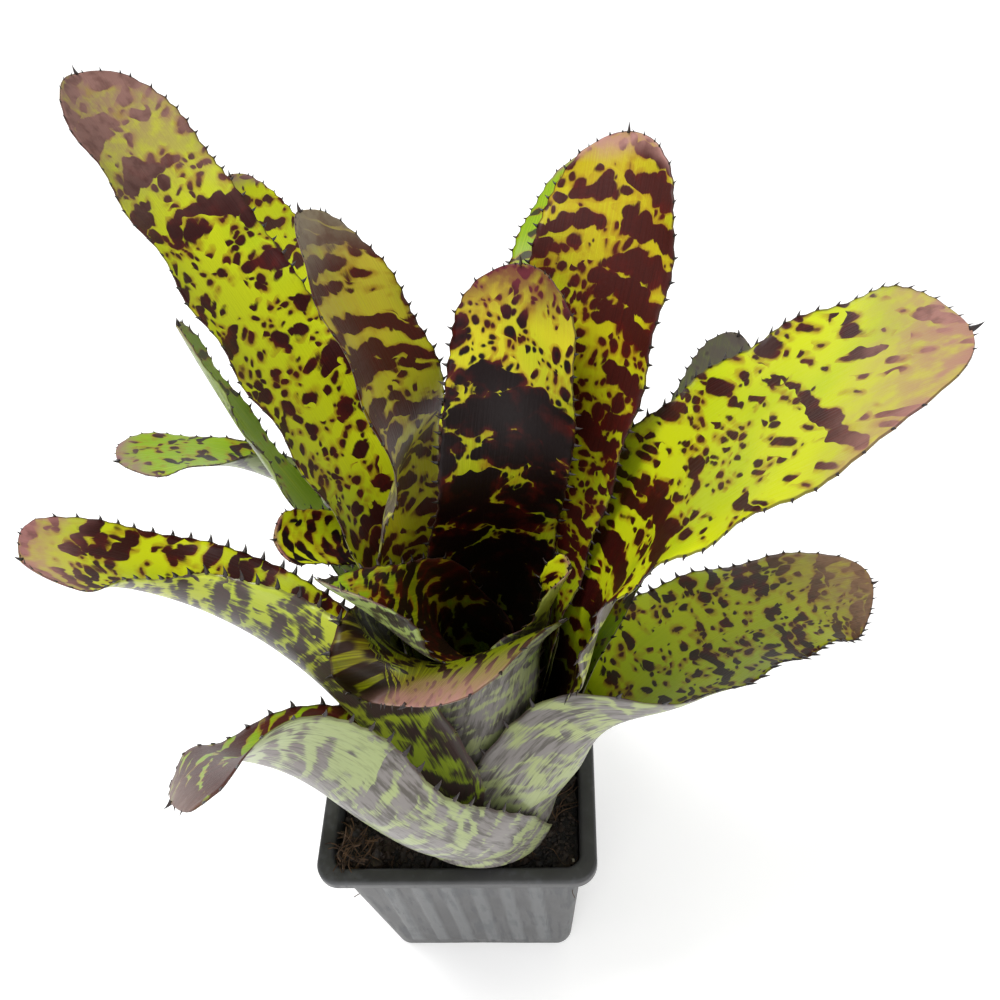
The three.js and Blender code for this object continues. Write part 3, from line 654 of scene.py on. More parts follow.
def spine_tree():
    """Sets a hooked spine on every vertex whose spine_size is above nothing."""
    tree = Tree("leaf spines", *SPINE_SHAPE, "Finish")
    root, hook, flatness, sunk = (tree.input(title) for title in SPINE_SHAPE)
    size = tree.attribute("spine_size")
    points = tree.add("GeometryNodeMeshToPoints", Mesh=tree.input(), Selection=tree.above(size, 1e-5))
    cone = tree.add("GeometryNodeMeshCone", Vertices=SPINE_SIDES, Side_Segments=SPINE_STEPS,
                    Radius_Top=SPINE_POINT, Radius_Bottom=root, Depth=1.0)
    x, y, z = tree.parts(tree.add("GeometryNodeInputPosition"))
    hooked = tree.vector(x + z * z * hook, y * flatness, z - sunk)
    spine = tree.add("GeometryNodeSetPosition", Geometry=cone, Position=hooked)
    smooth_spine = tree.add("GeometryNodeSetShadeSmooth", None, spine)
    upright = tree.add("FunctionNodeAlignRotationToVector", {"axis": "Z"},
                       Vector=tree.attribute("spine_out", "FLOAT_VECTOR"))
    turned = tree.add("FunctionNodeAlignRotationToVector", {"axis": "X", "pivot_axis": "Z"},
                      Rotation=upright, Vector=tree.attribute("spine_ahead", "FLOAT_VECTOR"))
    return tree.finish(tree.join(tree.input(), tree.instances(points, smooth_spine, turned, size)))


class Finish(Nodes):
    """A material, its nodes and its Principled shader."""

    def __init__(self, name, **constants):
        self.material = bpy.data.materials.new(name)
        self.material.use_nodes = True
        super().__init__(self.material.node_tree)
        self.shader = self.tree.nodes["Principled BSDF"]
        self.feed(**constants)

    def feed(self, **sockets):
        for title, value in sockets.items():
            self.put(self.shader.inputs[title.replace("_", " ")], value)

    def attribute(self, name):
        return self.parts(self.add("ShaderNodeAttribute", {"attribute_name": name}, output=1))

    def place(self):
        return self.add("ShaderNodeTexCoord", output=3)

    def stretched(self, place, scale):
        return self.add("ShaderNodeMapping", None, Vector=place, Scale=scale)

    def noise(self, vector, scale=1.0, detail=2.0, roughness=0.5):
        return self.add("ShaderNodeTexNoise", None, Vector=vector, Scale=scale, Detail=detail,
                        Roughness=roughness)

    def cells(self, vector, scale):
        return self.add("ShaderNodeTexVoronoi", None, Vector=vector, Scale=scale)

    def points(self, x, y, randomness):
        """Distance to the nearest of points scattered one a unit square, and that point's own chance."""
        apart = self.add("ShaderNodeTexVoronoi", {"voronoi_dimensions": "2D"}, Vector=self.vector(x, y),
                         Scale=1.0, Randomness=randomness)
        return apart, self.grey(Value(self, apart.socket.node.outputs[1]))

    def grey(self, tint):
        return self.add("ShaderNodeSeparateColor", None, tint)

    def mix(self, share, first, second):
        tints = [tint if isinstance(tint, Value) else color(*tint) for tint in (first, second)]
        unused = [None] * 5
        return self.add("ShaderNodeMix", {"data_type": "RGBA"}, share, *unused, *tints, output=2)

    def stops(self, share, *stops):
        """A number that changes with share: stops are (place, number) pairs."""
        tint = self.add("ShaderNodeValToRGB", None, share)
        elements = tint.socket.node.color_ramp.elements
        while len(elements) < len(stops):
            elements.new(1.0)
        for element, (position, number) in zip(elements, stops):
            element.position = position
            element.color = (number, number, number, 1)
        return self.grey(tint)

    def bump(self, height, strength, distance):
        return self.add("ShaderNodeBump", None, Strength=strength, Distance=distance, Height=height)


def color(*levels):
    """Linear colour from screen values of 0 to 255."""
    shares = [level / 255 for level in levels]
    return tuple(share / 12.92 if share <= 0.04045 else ((share + 0.055) / 1.055) ** 2.4
                 for share in shares) + (1.0,)


# ---- Leaf finishes ----
YELLOW_GREEN = (178, 186, 14)
FRESH_GREEN = (118, 150, 6)
DEEP_GREEN = (70, 92, 8)
PALE_GREEN = (146, 154, 112)
OCHRE = (136, 94, 14)
OXBLOOD = (80, 12, 6)
MAROON = (46, 6, 5)
DEEP_MAROON = (14, 1, 2)
MAUVE = (132, 98, 96)
PINK = (160, 108, 104)
GREY = (118, 113, 110)
SPINE_BLACK = (20, 13, 13)
SHADE = (12, 12, 4)
MARGIN_BROWN = (60, 34, 26)
SCURF_GREEN = (84, 88, 62)
SCURF_BROWN = (58, 54, 44)

# What sets one leaf's markings apart. ground: colours of its foot, middle and end. bars, spots: how much
# they cover at the four zones, which are shares of the length. pitch, length: millimetres between bars and
# along one. even: how regular the bars are. spot: millimetres between spots. blush: share of the length
# over which the end turns to the colour end, which is partly the leaf's own pink and partly a painted
# mauve-grey glare. dark: colour of the markings. grey: how grey they are on the lower face. slant: how far
# they climb per millimetre across. squeeze: under 1, they are that much wider across. stain: how brown the
# ground is round them.
ZONES = (0.0, 0.33, 0.66, 0.95)
PLAIN_LOOK = dict(zones=ZONES,
                  ground=(FRESH_GREEN, YELLOW_GREEN, YELLOW_GREEN), bars=(0.6, 0.45, 0.45, 0.5),
                  spots=(0.6, 0.6, 0.4, 0.1), pitch=8.0, length=36.0, even=0.1, spot=5.6, blush_and_glare=0.08,
                  end=MAUVE, dark=MAROON, grey=0.6, slant=0.0, squeeze=1.0, stain=0.75)
LOOKS = {
    1: dict(slant=-0.35, squeeze=0.5, ground=(PALE_GREEN, FRESH_GREEN, FRESH_GREEN),
            bars=(0.5, 0.55, 0.6, 0.8), pitch=6.0, length=26.0, even=0.3, spots=(0.3, 0.2, 0.2, 0),
            dark=(62, 24, 14), end=(104, 78, 68), blush_and_glare=0.07, grey=1.0),
    2: dict(slant=0.1, squeeze=0.6, bars=(0.5, 0.5, 0.56, 0.58), spots=(0.6, 0.6, 0.3, 0.1), pitch=6.0,
            length=18.0, even=0.2, blush_and_glare=0.1, end=PINK, dark=(44, 8, 5), grey=0.2),
    3: dict(slant=-0.45, squeeze=0.7, ground=(DEEP_GREEN, (164, 180, 0), (162, 162, 18)),
            bars=(0.7, 0.3, 0.28, 0.66), pitch=7.0, even=0.2, spots=(0.2, 0.45, 0.5, 0.3), spot=4.8,
            blush_and_glare=0.16, end=(122, 90, 62), dark=(44, 30, 6), grey=1.0),
    4: dict(ground=(DEEP_GREEN, FRESH_GREEN, FRESH_GREEN), bars=(0.5, 0.5, 0.55, 0.3), pitch=5.0,
            length=11.0, spots=(0, 0.2, 0.2, 0.1), blush_and_glare=0.05, dark=(38, 26, 16), grey=0.8),
    5: dict(slant=-0.25, ground=(FRESH_GREEN,) * 3, bars=(0.1, 0.1, 0.15, 0.2), spots=(0, 0.2, 0.2, 0),
            blush_and_glare=0.03, dark=(60, 70, 20)),
    6: dict(ground=(FRESH_GREEN, FRESH_GREEN, (116, 126, 92)), bars=(0.3, 0.3, 0.35, 0.45),
            dark=(72, 66, 50), end=(108, 98, 96), blush_and_glare=0.3, grey=1.0),
    # The ground is painted dark olive: painted shade inside the wide cup.
    7: dict(slant=-0.9, ground=((50, 46, 6), (60, 54, 6), (84, 72, 10)), bars=(0.62, 0.62, 0.6, 0.4),
            pitch=3.4, length=30.0, even=0.3, spots=(0, 0, 0, 0), dark=(26, 16, 4), blush_and_glare=0.13,
            end=(150, 108, 100), grey=0.8, stain=0.1),
    8: dict(slant=0.15, bars=(0.2, 0.2, 0.3, 0.2), spots=(0.3, 0.3, 0.3, 0.4), blush_and_glare=0.03,
            dark=(62, 34, 24)),
    9: dict(bars=(0.66, 0.66, 0.66, 0.5), spots=(0, 0, 0, 0), pitch=3.8, length=44.0, even=0.6,
            blush_and_glare=0.02, dark=DEEP_MAROON, end=PINK, grey=0.9),
    10: dict(slant=0.85, squeeze=0.65, bars=(0.8, 0.5, 0.34, 0.12), spots=(0.4, 0.55, 0.6, 0.3),
             pitch=13.0, length=76.0, spot=6.4, blush_and_glare=0.12, end=(152, 108, 98)),
    11: dict(slant=0.12, squeeze=0.7, bars=(0.5, 0.42, 0.36, 0.78), spots=(0.6, 0.68, 0.62, 0.3),
             pitch=11.0, length=34.0, blush_and_glare=0.2, end=(134, 100, 92)),
    12: dict(slant=-0.35, squeeze=0.55, ground=(FRESH_GREEN, (196, 184, 18), (168, 150, 46)),
             bars=(0.3, 0.5, 0.68, 0.68), pitch=7.5, length=50.0, even=0.3, spots=(0.5, 0.6, 0.3, 0),
             blush_and_glare=0.1, end=(132, 120, 100), dark=(66, 16, 6)),
    13: dict(ground=(FRESH_GREEN,) * 3, bars=(0.2, 0.2, 0.3, 0.3), spots=(0.3, 0.3, 0.2, 0.1),
             blush_and_glare=0.03, dark=(50, 52, 20)),
    14: dict(ground=(FRESH_GREEN, (166, 166, 12), (164, 144, 16)), bars=(0.2, 0.34, 0.58, 0.56),
             length=34.0, spots=(0.6, 0.85, 0.6, 0.1), spot=5.2, blush_and_glare=0.04, end=(160, 118, 110),
             dark=(58, 16, 11)),
    15: dict(ground=(FRESH_GREEN, (150, 156, 16), (182, 168, 30)), bars=(1.0, 0.96, 0.96, 0.0),
             zones=(0.0, 0.33, 0.71, 0.79), length=15.0, spots=(0.5, 0.8, 0.5, 0.6), spot=4.6,
             blush_and_glare=0.12, end=(92, 34, 44), dark=DEEP_MAROON),
    16: dict(slant=-0.5, ground=(FRESH_GREEN, (112, 120, 10), FRESH_GREEN),
             bars=(0.88, 0.84, 0.74, 0.4), spots=(0, 0, 0, 0.2), pitch=4.4, length=40.0, even=0.4,
             blush_and_glare=0.02, dark=(26, 14, 4)),
    17: dict(slant=1.0, bars=(0.7, 0.6, 0.4, 0.2), spots=(0, 0, 0, 0), pitch=4.0, blush_and_glare=0.1, end=PINK,
             dark=DEEP_MAROON),
}
LOBE = 4.2  # width of the round lobes along a bar's edge
ARCH = 5.0  # how far bars bend towards the foot at the margins
SWAY = 7.0  # how far a slow warp moves the markings
SMALL_SPOT = 0.46  # pitch of the small spots, of that of the large ones
LOBE_RADIUS = 0.42  # in lobe widths
LOBE_DEPTH = 0.8
SPOT_LENGTH = 1.15  # how much longer than wide spots are
SPOT_RADIUS = 0.14  # in pitches, that of the smallest
SPOT_SPREAD = 0.3  # how much larger the largest are
SPOT_EDGE = 1.03  # where a spot whose chance is above its share is whole
BAR_COVER = 0.82  # pitches of half width for each unit of cover
BAR_LEAST = -0.1
BAR_SPREAD = 0.26  # how unequal bars are in width
BAR_FRAY = 0.7
SPOT_FRAY = 0.5
SCATTER = 0.9  # how irregular lobes and spots are
SHUFFLE = 7.3  # turns one chance into another
OWN_PATTERN = 37.0  # how far apart in the noise the patterns of two leaves are

# Noise cells per millimetre.
WARPS = 0.1
SHEENS = 0.045
CLUSTERS = 0.075
PATCHES = 0.16
MOTTLES = 0.28
PEBBLES = 0.9

# Where a change starts and where it is complete: millimetres inside a marking, or shares of the length.
MARK_EDGE = (-0.32, 0.22)
LOWER_EDGE = (-1.1, 0.5)
STAIN_EDGE = (-1.6, 0.0)
RED_EDGE = (0.2, 1.6)
FOOT_GROUND = (-0.05, 0.35)
END_GROUND = (0.45, 0.95)
SHADED = (-0.02, 0.3)
GREY_ENDS = (0.55, 0.9)
MARGIN_EDGE = (0.97, 0.99)  # shares of the half width


def leaf_marks(leaf, look, shift, across, along, share, edge, warp):
    """How many millimetres a place is inside a marking; outside all of them it is below nothing."""
    fine = leaf.noise(leaf.vector(across * 1.7, along * 0.3, shift), 1.0, 3.0, 0.6) - 0.5

    # Bars are long patches across the blade that bend at the margins, with round lobes along their edges.
    sway_across = across * look["squeeze"] + warp * SWAY
    sway_along = along + across * look["slant"] - warp * SWAY
    course = (sway_along + edge * edge * ARCH) / look["pitch"]
    apart, chance = leaf.points(sway_across / look["length"] + shift, course, 1 - look["even"])
    cover = leaf.stops(share, *zip(look["zones"], look["bars"]))
    radius = cover * BAR_COVER + BAR_LEAST + (chance - 0.5) * BAR_SPREAD
    lobe, _ = leaf.points(sway_across / LOBE + shift, sway_along / LOBE, SCATTER)
    mark = (radius - apart) * look["pitch"] + (LOBE_RADIUS - lobe) * LOBE * LOBE_DEPTH + fine * BAR_FRAY

    # Spots are round, in clusters, and fewer where their share is low.
    cluster = leaf.noise(leaf.vector(across, along, shift), CLUSTERS)
    spot_share = leaf.stops(share, *zip(look["zones"], look["spots"])) * cluster.ramp(0.2, 0.5)
    for size in (look["spot"], look["spot"] * SMALL_SPOT):
        places = sway_across / size + shift, sway_along / (size * SPOT_LENGTH)
        apart, chance = leaf.points(*places, SCATTER)
        kept = (chance + spot_share).ramp(1.0, SPOT_EDGE)
        radius = kept * (SPOT_RADIUS + SPOT_SPREAD * (chance * SHUFFLE).fraction()) - (1 - kept)
        mark = ((radius - apart) * size + fine * SPOT_FRAY).most(mark)
    return mark


def leaf_finish(number):
    look = {**PLAIN_LOOK, **LOOKS[number]}
    leaf = Finish(f"leaf {number:02d}", Specular_IOR_Level=0.16, Coat_Roughness=0.24, Coat_IOR=1.45)
    across, along, face = leaf.attribute("place")
    v, share, _ = leaf.attribute("reach")
    edge = abs(v)
    shift = OWN_PATTERN * number
    blade = leaf.vector(across, along, shift)
    warp = leaf.noise(blade, WARPS) - 0.5
    mark = leaf_marks(leaf, look, shift, across, along, share, edge, warp)
    dark = mark.ramp(*MARK_EDGE)

    def lengthways(wide, long, detail, roughness=0.5, apart=0.0):
        """Noise drawn out along the blade: wide and long are its cells per millimetre."""
        place = leaf.vector(across * wide, along * long, shift + apart)
        return leaf.noise(place, 1.0, detail, roughness)

    # The ground, the brown stain round the markings and the markings themselves.
    sheen = leaf.noise(blade, SHEENS, 1.0)
    veins = lengthways(2.6, 0.05, 1.0)
    patch = leaf.noise(blade, PATCHES, 3.0)
    foot, middle, end = look["ground"]
    ground = leaf.mix(share.ramp(*FOOT_GROUND), foot, middle)
    ground = leaf.mix(share.ramp(*END_GROUND), ground, end)
    ground = leaf.mix(sheen.ramp(0.4, 0.7) * 0.35, ground, FRESH_GREEN)
    ground = leaf.mix(veins.ramp(0.4, 0.75) * 0.3, ground, YELLOW_GREEN)
    stain = mark.ramp(*STAIN_EDGE) * patch.ramp(0.35, 0.6) * look["stain"]
    red = (1 - mark.ramp(*RED_EDGE)) * patch.ramp(0.4, 0.65) * 0.7 * look["stain"]
    marks = leaf.mix(red, look["dark"], OXBLOOD)
    marks = leaf.mix(patch.ramp(0.5, 0.75) * 0.5 * look["stain"], marks, OXBLOOD)
    marks = leaf.mix(veins.ramp(0.45, 0.8) * 0.35, marks, DEEP_MAROON)
    upper = leaf.mix(dark, leaf.mix(stain, ground, OCHRE), marks)

    # Deep in the rosette all is darker: painted shade. The end and the last of the margin turn to the end
    # colour, partly the leaf's own pink and partly a painted glare.
    upper = leaf.mix((1 - share.ramp(*SHADED)) * 0.7, upper, SHADE)
    mottle = leaf.noise(blade, MOTTLES, 3.0).ramp(0.3, 0.6)
    # The end colour: partly the leaf's own pink, partly painted glare.
    blush_and_glare = (share + warp * 0.06 + (edge ** 6.0) * 0.03).ramp(1.0 - look["blush_and_glare"] * 1.4, 1.0)
    upper = leaf.mix(blush_and_glare * (mottle * 0.4 + 0.55), upper, look["end"])
    rim = (edge + warp * 0.02).ramp(*MARGIN_EDGE)
    upper = leaf.mix(rim * 0.7, upper, MARGIN_BROWN)

    # The lower face: the markings turn grey and the ground pale, with fine combed scurf. The grey and the
    # pale are partly the scurf's own colour and partly a painted reflection of the bright surroundings.
    slanted = leaf.vector(across * 1.2, (along + across * 0.5) * 0.16, shift + 9.0)
    combed = leaf.noise(slanted, 1.0, 3.0, 0.65) - 0.5
    scurf = lengthways(0.5, 0.11, 3.0, 0.6, apart=5.0)
    grey = leaf.mix((1 - share.ramp(*GREY_ENDS)) * look["grey"], look["dark"], GREY)
    grey = leaf.mix((scurf + combed * 0.5).ramp(0.42, 0.66) * 0.75, grey, SCURF_BROWN)
    pale = leaf.mix(look["grey"] * 0.85, ground, PALE_GREEN)
    pale = leaf.mix(combed.ramp(-0.05, 0.2) * 0.4 * look["grey"], pale, SCURF_GREEN)
    lower = leaf.mix((mark + combed * 5.0).ramp(*LOWER_EDGE), pale, grey)
    # The same end colour on the lower face: partly its own pink, partly painted glare.
    lower = leaf.mix(blush_and_glare * 0.5, lower, look["end"])
    lower = leaf.mix(rim * 0.5, lower, MARGIN_BROWN)

    ridge = lengthways(1.6, 0.06, 2.0)
    pebble = leaf.noise(blade, PEBBLES, 3.0)
    leaf.feed(
        Base_Color=leaf.mix(face.ramp(0.4, 0.6), lower, upper),
        Roughness=0.38 + dark * 0.04 + pebble * 0.14 + (1 - face) * scurf * 0.1,
        Coat_Weight=sheen * 0.08 + (1 - face) * 0.4,
        Normal=leaf.bump(ridge * 0.6 + pebble * 0.25 + dark * 0.12, 0.35, 0.0006),
    )
    return leaf.material


def spine_finish():
    spine = Finish("leaf spine", Specular_IOR_Level=0.5)
    grain = spine.noise(spine.place(), 900.0)
    spine.feed(Base_Color=spine.mix(grain.ramp(0.35, 0.8) * 0.6, SPINE_BLACK, (58, 34, 26)),
               Roughness=0.36 + grain * 0.2)
    return spine.material


def add_piece(name, mesh, *materials):
    piece = bpy.data.objects.new(name, mesh)
    for material in materials:
        piece.data.materials.append(material)
    bpy.context.scene.collection.objects.link(piece)
    return piece


def settle(piece, slot, *nodes):
    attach(piece, BODY)
    if nodes:
        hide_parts(*nodes)


def make_leaves():
    spines = spine_tree()
    black = spine_finish()
    for index, leaf in enumerate(LEAF_SIZES):
        name = f"blade_{index + 1:02d}"
        bare = add_piece(name, leaf_mesh(name, leaf, index), leaf_finish(index + 1), black)
        mesh = grown(bare, spines, {**SPINE_SHAPE, "Finish": black})
        settle(add_piece(name, mesh), "leaf", f"leaf_{index + 1:02d}")


make_leaves()

# ---- Pot, in millimetres ----
RIM_WIDTH = 90.0
BODY_WIDTH = 82.0
BASE_WIDTH = 68.0
WALL = 1.3
FLOOR = 2.4
LIP_DROP = 4.0
LIP_CORNER = 7.5
BODY_CORNER = 6.0
EDGE_ROUND = 1.2
RIBS_PER_SIDE = 6
RIB_WIDTH = 4.4
RIB_PITCH = 9.6
RIB_RELIEF = 0.5
RIB_EDGE = 0.6
ARCH_WIDTH = 34.0
ARCH_HEIGHT = 1.5
DRAIN_RADIUS = 4.0
DRAIN_OFFSET = 15.0
CORNER_STEPS = 12
SIDE_STEPS = 84
WALL_STEPS = 12
LIP_ROUND = 0.3
OFF_SIDE = 1e3  # what a corner's points are given as their place along a side


def square_ring(width, corner):
    """Points round a square with rounded corners, and how far each is along its side."""
    inset = width / 2 - corner
    turn = np.linspace(0, math.pi / 2, CORNER_STEPS + 1)
    run = np.linspace(1, -1, SIDE_STEPS + 1)[1:-1]
    points, sides = [], []
    for side in range(4):
        angle = side * math.pi / 2
        rotate = np.array([[math.cos(angle), -math.sin(angle)], [math.sin(angle), math.cos(angle)]])
        arc = np.stack([inset + corner * np.cos(turn), inset + corner * np.sin(turn)], -1)
        flat = np.stack([inset * run, np.full(len(run), width / 2)], -1)
        points.append(np.concatenate([arc, flat]) @ rotate.T)
        sides.append(np.concatenate([np.full(len(turn), OFF_SIDE), inset * run]))
    return np.concatenate(points), np.concatenate(sides)


def pot_width(z):
    return BASE_WIDTH + (BODY_WIDTH - BASE_WIDTH) * z / RIM


def rib_share(along):
    """1 on a rib and 0 between ribs, for places along a side."""
    middle = np.round(along / RIB_PITCH - 0.5) + 0.5
    middle = np.clip(middle, -(RIBS_PER_SIDE - 1) / 2, (RIBS_PER_SIDE - 1) / 2)
    apart = np.abs(along - middle * RIB_PITCH)
    return smooth((RIB_WIDTH / 2 + RIB_EDGE / 2 - apart) / RIB_EDGE)


def arc_steps(radius, start, stop, steps=5):
    """Width and height pairs round part of an edge, between angles in degrees."""
    for step in range(steps + 1):
        angle = math.radians(start + (stop - start) * step / steps)
        yield radius * math.cos(angle), radius * math.sin(angle)


def pot_rings():
    """The pot's skin from the middle of its base up outside, over the lip and down inside."""
    foot, top = 2 * LIP_DROP, RIM - 2 * LIP_DROP
    rings = []

    def add(width, corner, z, rib=0):
        rings.append((width, corner, z, rib))

    add(BASE_WIDTH * 0.5, 2.0, 0)
    add(BASE_WIDTH - 2 * EDGE_ROUND, BODY_CORNER - EDGE_ROUND, 0)
    for w, h in arc_steps(EDGE_ROUND, -75, 0):
        z = EDGE_ROUND + h
        add(pot_width(z) - 2 * (EDGE_ROUND - w), BODY_CORNER - EDGE_ROUND + w, z)
    rising = ((-1, 0), (-0.3, 0.35), (0.5, 0.9), (1.2, 1))  # how a rib comes up out of the wall
    for up, rib in rising:
        add(pot_width(foot + up), BODY_CORNER, foot + up, rib)
    for z in np.linspace(foot + 6, top - 6, WALL_STEPS):
        add(pot_width(z), BODY_CORNER, z, 1)
    for up, rib in reversed(rising):
        add(pot_width(top - up), BODY_CORNER, top - up, rib)

    skirt = RIM_WIDTH - 2 * WALL
    skirt_corner = LIP_CORNER - WALL
    under, low = RIM - WALL, RIM - LIP_DROP
    add(pot_width(under - 0.6), BODY_CORNER, under - 0.6)
    add(pot_width(under) + 0.8, BODY_CORNER, under)
    add(skirt - 0.8, skirt_corner - 0.4, under)
    add(skirt, skirt_corner, under - 0.6)
    add(skirt, skirt_corner, low + LIP_ROUND)
    add(skirt + 2 * LIP_ROUND, skirt_corner + LIP_ROUND, low)
    add(RIM_WIDTH - 2 * LIP_ROUND, LIP_CORNER - LIP_ROUND, low)
    add(RIM_WIDTH, LIP_CORNER, low + LIP_ROUND)
    for w, h in arc_steps(EDGE_ROUND, 0, 90, 7):
        add(RIM_WIDTH - 2 * (EDGE_ROUND - w), LIP_CORNER - EDGE_ROUND + w, RIM - EDGE_ROUND + h)

    inner = BODY_CORNER - WALL
    for wider, down in ((1.2, 0), (0.35, 0.35), (0, 1.2)):
        add(pot_width(RIM) - 2 * WALL + 2 * wider, inner + wider, RIM - down)
    for z in (RIM - 12, RIM / 2, FLOOR + 0.8):
        add(pot_width(z) - 2 * WALL, inner, z)
    add(pot_width(FLOOR) - 2 * WALL - 1.6, inner - 0.8, FLOOR)
    add(BASE_WIDTH * 0.5, 2.0, FLOOR)
    return rings


def ring_mesh(name, rings, start, end):
    count = len(rings[0])
    vertices = np.concatenate(list(rings) + [np.array([start, end])]) * MM
    first = len(rings) * count
    k = np.arange(count)
    after = (k + 1) % count
    faces = [[first, b, a] for a, b in zip(k, after)]
    for ring in range(len(rings) - 1):
        low, high = ring * count, (ring + 1) * count
        faces += [[low + a, low + b, high + b, high + a] for a, b in zip(k, after)]
    last = first - count
    faces += [[last + a, last + b, first + 1] for a, b in zip(k, after)]
    return plain_mesh(name, vertices, faces)


def pot_mesh():
    rings, ribs = [], []
    for width, corner, z, rib in pot_rings():
        flat, along = square_ring(width, corner)
        proud = rib * RIB_RELIEF * rib_share(along)
        flat = flat * (1 + proud[:, None] / (width / 2))
        height = np.full(len(flat), float(z))
        if z < ARCH_HEIGHT and width > 0.9 * BASE_WIDTH:
            lift = ARCH_HEIGHT * np.sqrt(np.clip(1 - (along / (ARCH_WIDTH / 2)) ** 2, 0, 1))
            height = np.maximum(height, lift)
        rings.append(np.concatenate([flat, height[:, None]], 1))
        ribs.append(rib * rib_share(along))
    mesh = ring_mesh("nursery_pot", rings, (0, 0, 0), (0, 0, FLOOR))
    # The rib share is kept for the finish, which paints a highlight on the ribs.
    attribute(mesh, "rib", np.concatenate(ribs + [np.zeros(2)]))
    return mesh


def drain_cutter():
    drains = []
    for x in (-DRAIN_OFFSET, DRAIN_OFFSET):
        for y in (-DRAIN_OFFSET, DRAIN_OFFSET):
            bpy.ops.mesh.primitive_cylinder_add(vertices=40, radius=DRAIN_RADIUS * MM, depth=4 * FLOOR * MM,
                                                location=(x * MM, y * MM, 0))
            drains.append(bpy.context.object)
    with bpy.context.temp_override(active_object=drains[0], selected_editable_objects=drains):
        bpy.ops.object.join()
    return drains[0]


def pot_finish():
    pot = Finish("black pot plastic", Specular_IOR_Level=0.42)
    place = pot.place()
    grain = pot.noise(place, 2600.0, 3.0)
    cloud = pot.noise(place, 60.0, 3.0)
    streak = pot.noise(pot.stretched(place, (420.0, 420.0, 24.0)), 1.0, 3.0)
    dust = (streak * cloud * 2.0).ramp(0.48, 0.8)
    specks = pot.cells(place, 900.0)
    soil = (0.16 - specks).ramp(0.0, 0.05) * cloud.ramp(0.5, 0.62)
    # The ribs are painted lighter than the wall between them: a painted highlight on the ribs and painted
    # shade between them.
    rib = pot.add("ShaderNodeAttribute", {"attribute_name": "rib"}, output=2)
    base = pot.mix(cloud.ramp(0.3, 0.75), (50, 50, 51), (70, 70, 71))
    base = pot.mix(rib * (0.35 + streak * 0.5), base, (94, 96, 97))
    base = pot.mix(dust * 0.35, base, (92, 95, 98))
    base = pot.mix(soil * 0.8, base, (46, 32, 24))
    pot.feed(Base_Color=base, Roughness=0.38 + dust * 0.22 + soil * 0.3 + grain * 0.1,
             Normal=pot.bump(grain * 0.6 + streak * 0.5 + soil * 1.5, 0.22, 0.0002))
    return pot.material


def make_pot():
    body = add_piece("pot_body", pot_mesh(), pot_finish())
    cutter = drain_cutter()
    cut = body.modifiers.new("drains", "BOOLEAN")
    cut.object = cutter
    cut.operation = "DIFFERENCE"
    cut.solver = "EXACT"
    mesh = evaluated(body)
    bpy.data.objects.remove(cutter)
    bpy.data.objects.remove(body)
    settle(add_piece("nursery_pot", mesh), "pot", "pot")


make_pot()

# ---- Potting mix, in millimetres ----
GAP = 0.35
MIX_DROP = 6.0
LOWEST_BIT = 2.5  # how far under the mix's top bits may sit
BARE_EDGE = 3.4  # how far they stay from the outside of the pot
MIX_RINGS = 44
HOLLOW_RADIUS = 20.0  # round the foot of the stem
HOLLOW_EDGE = 8.0
HOLLOW_DEPTH = 3.0
CHIP_COUNT = 520
FIBRE_COUNT = 160
CLUMP_COUNT = 110
HEAP = (-38.0, -37.0)  # crumbs and roots heaped against one corner of the rim
HEAP_WIDTH = 9.0
HEAP_HEIGHT = 8.5
PALE_COUNT = 26


def mix_relief(x, y):
    """How the loose top rises and falls: slow waves, clods and grains."""
    wave = np.sin(0.31 * x + 1.3) * np.cos(0.27 * y - 0.6) + 0.6 * np.sin(0.55 * x - 0.62 * y)
    crumb = np.sin(1.7 * x + 2.1 * np.sin(0.9 * y)) * np.sin(1.5 * y + 1.7 * np.sin(1.1 * x))
    return 0.66 * wave + 0.28 * crumb + 0.14 * np.sin(3.9 * x + y) * np.sin(4.3 * y - 1.3 * x)


def heap(x, y):
    """How much higher the heap makes it."""
    apart = (x - HEAP[0]) ** 2 + (y - HEAP[1]) ** 2
    return HEAP_HEIGHT * np.exp(-apart / HEAP_WIDTH ** 2)


def mix_mesh():
    """A skin from the underside up the walls and in over the loose top."""
    top, low = RIM - MIX_DROP, FLOOR + GAP
    inset = 2 * (WALL + GAP)
    corner = BODY_CORNER - WALL - GAP
    hollow = FOOT[:2] - LINE[:2] * (MIX_DROP + FOOT[2])
    rings = []
    for z in (low, RIM / 2, top - 1):
        flat, _ = square_ring(pot_width(z) - inset, corner)
        rings.append(np.concatenate([flat, np.full((len(flat), 1), z)], 1))
    for k in range(MIX_RINGS):
        share = 1 - k / MIX_RINGS
        flat, _ = square_ring((pot_width(top) - inset) * share, corner * share)
        edge = smooth((1 - share) * 12)
        z = top + edge * (mix_relief(flat[:, 0], flat[:, 1]) + heap(flat[:, 0], flat[:, 1]))
        apart = np.linalg.norm(flat - hollow, axis=1)
        z -= HOLLOW_DEPTH * smooth((HOLLOW_RADIUS - apart) / HOLLOW_EDGE)
        rings.append(np.concatenate([flat, z[:, None]], 1))
    return ring_mesh("loose_mix", rings, (0, 0, low), (0, 0, top - 1))


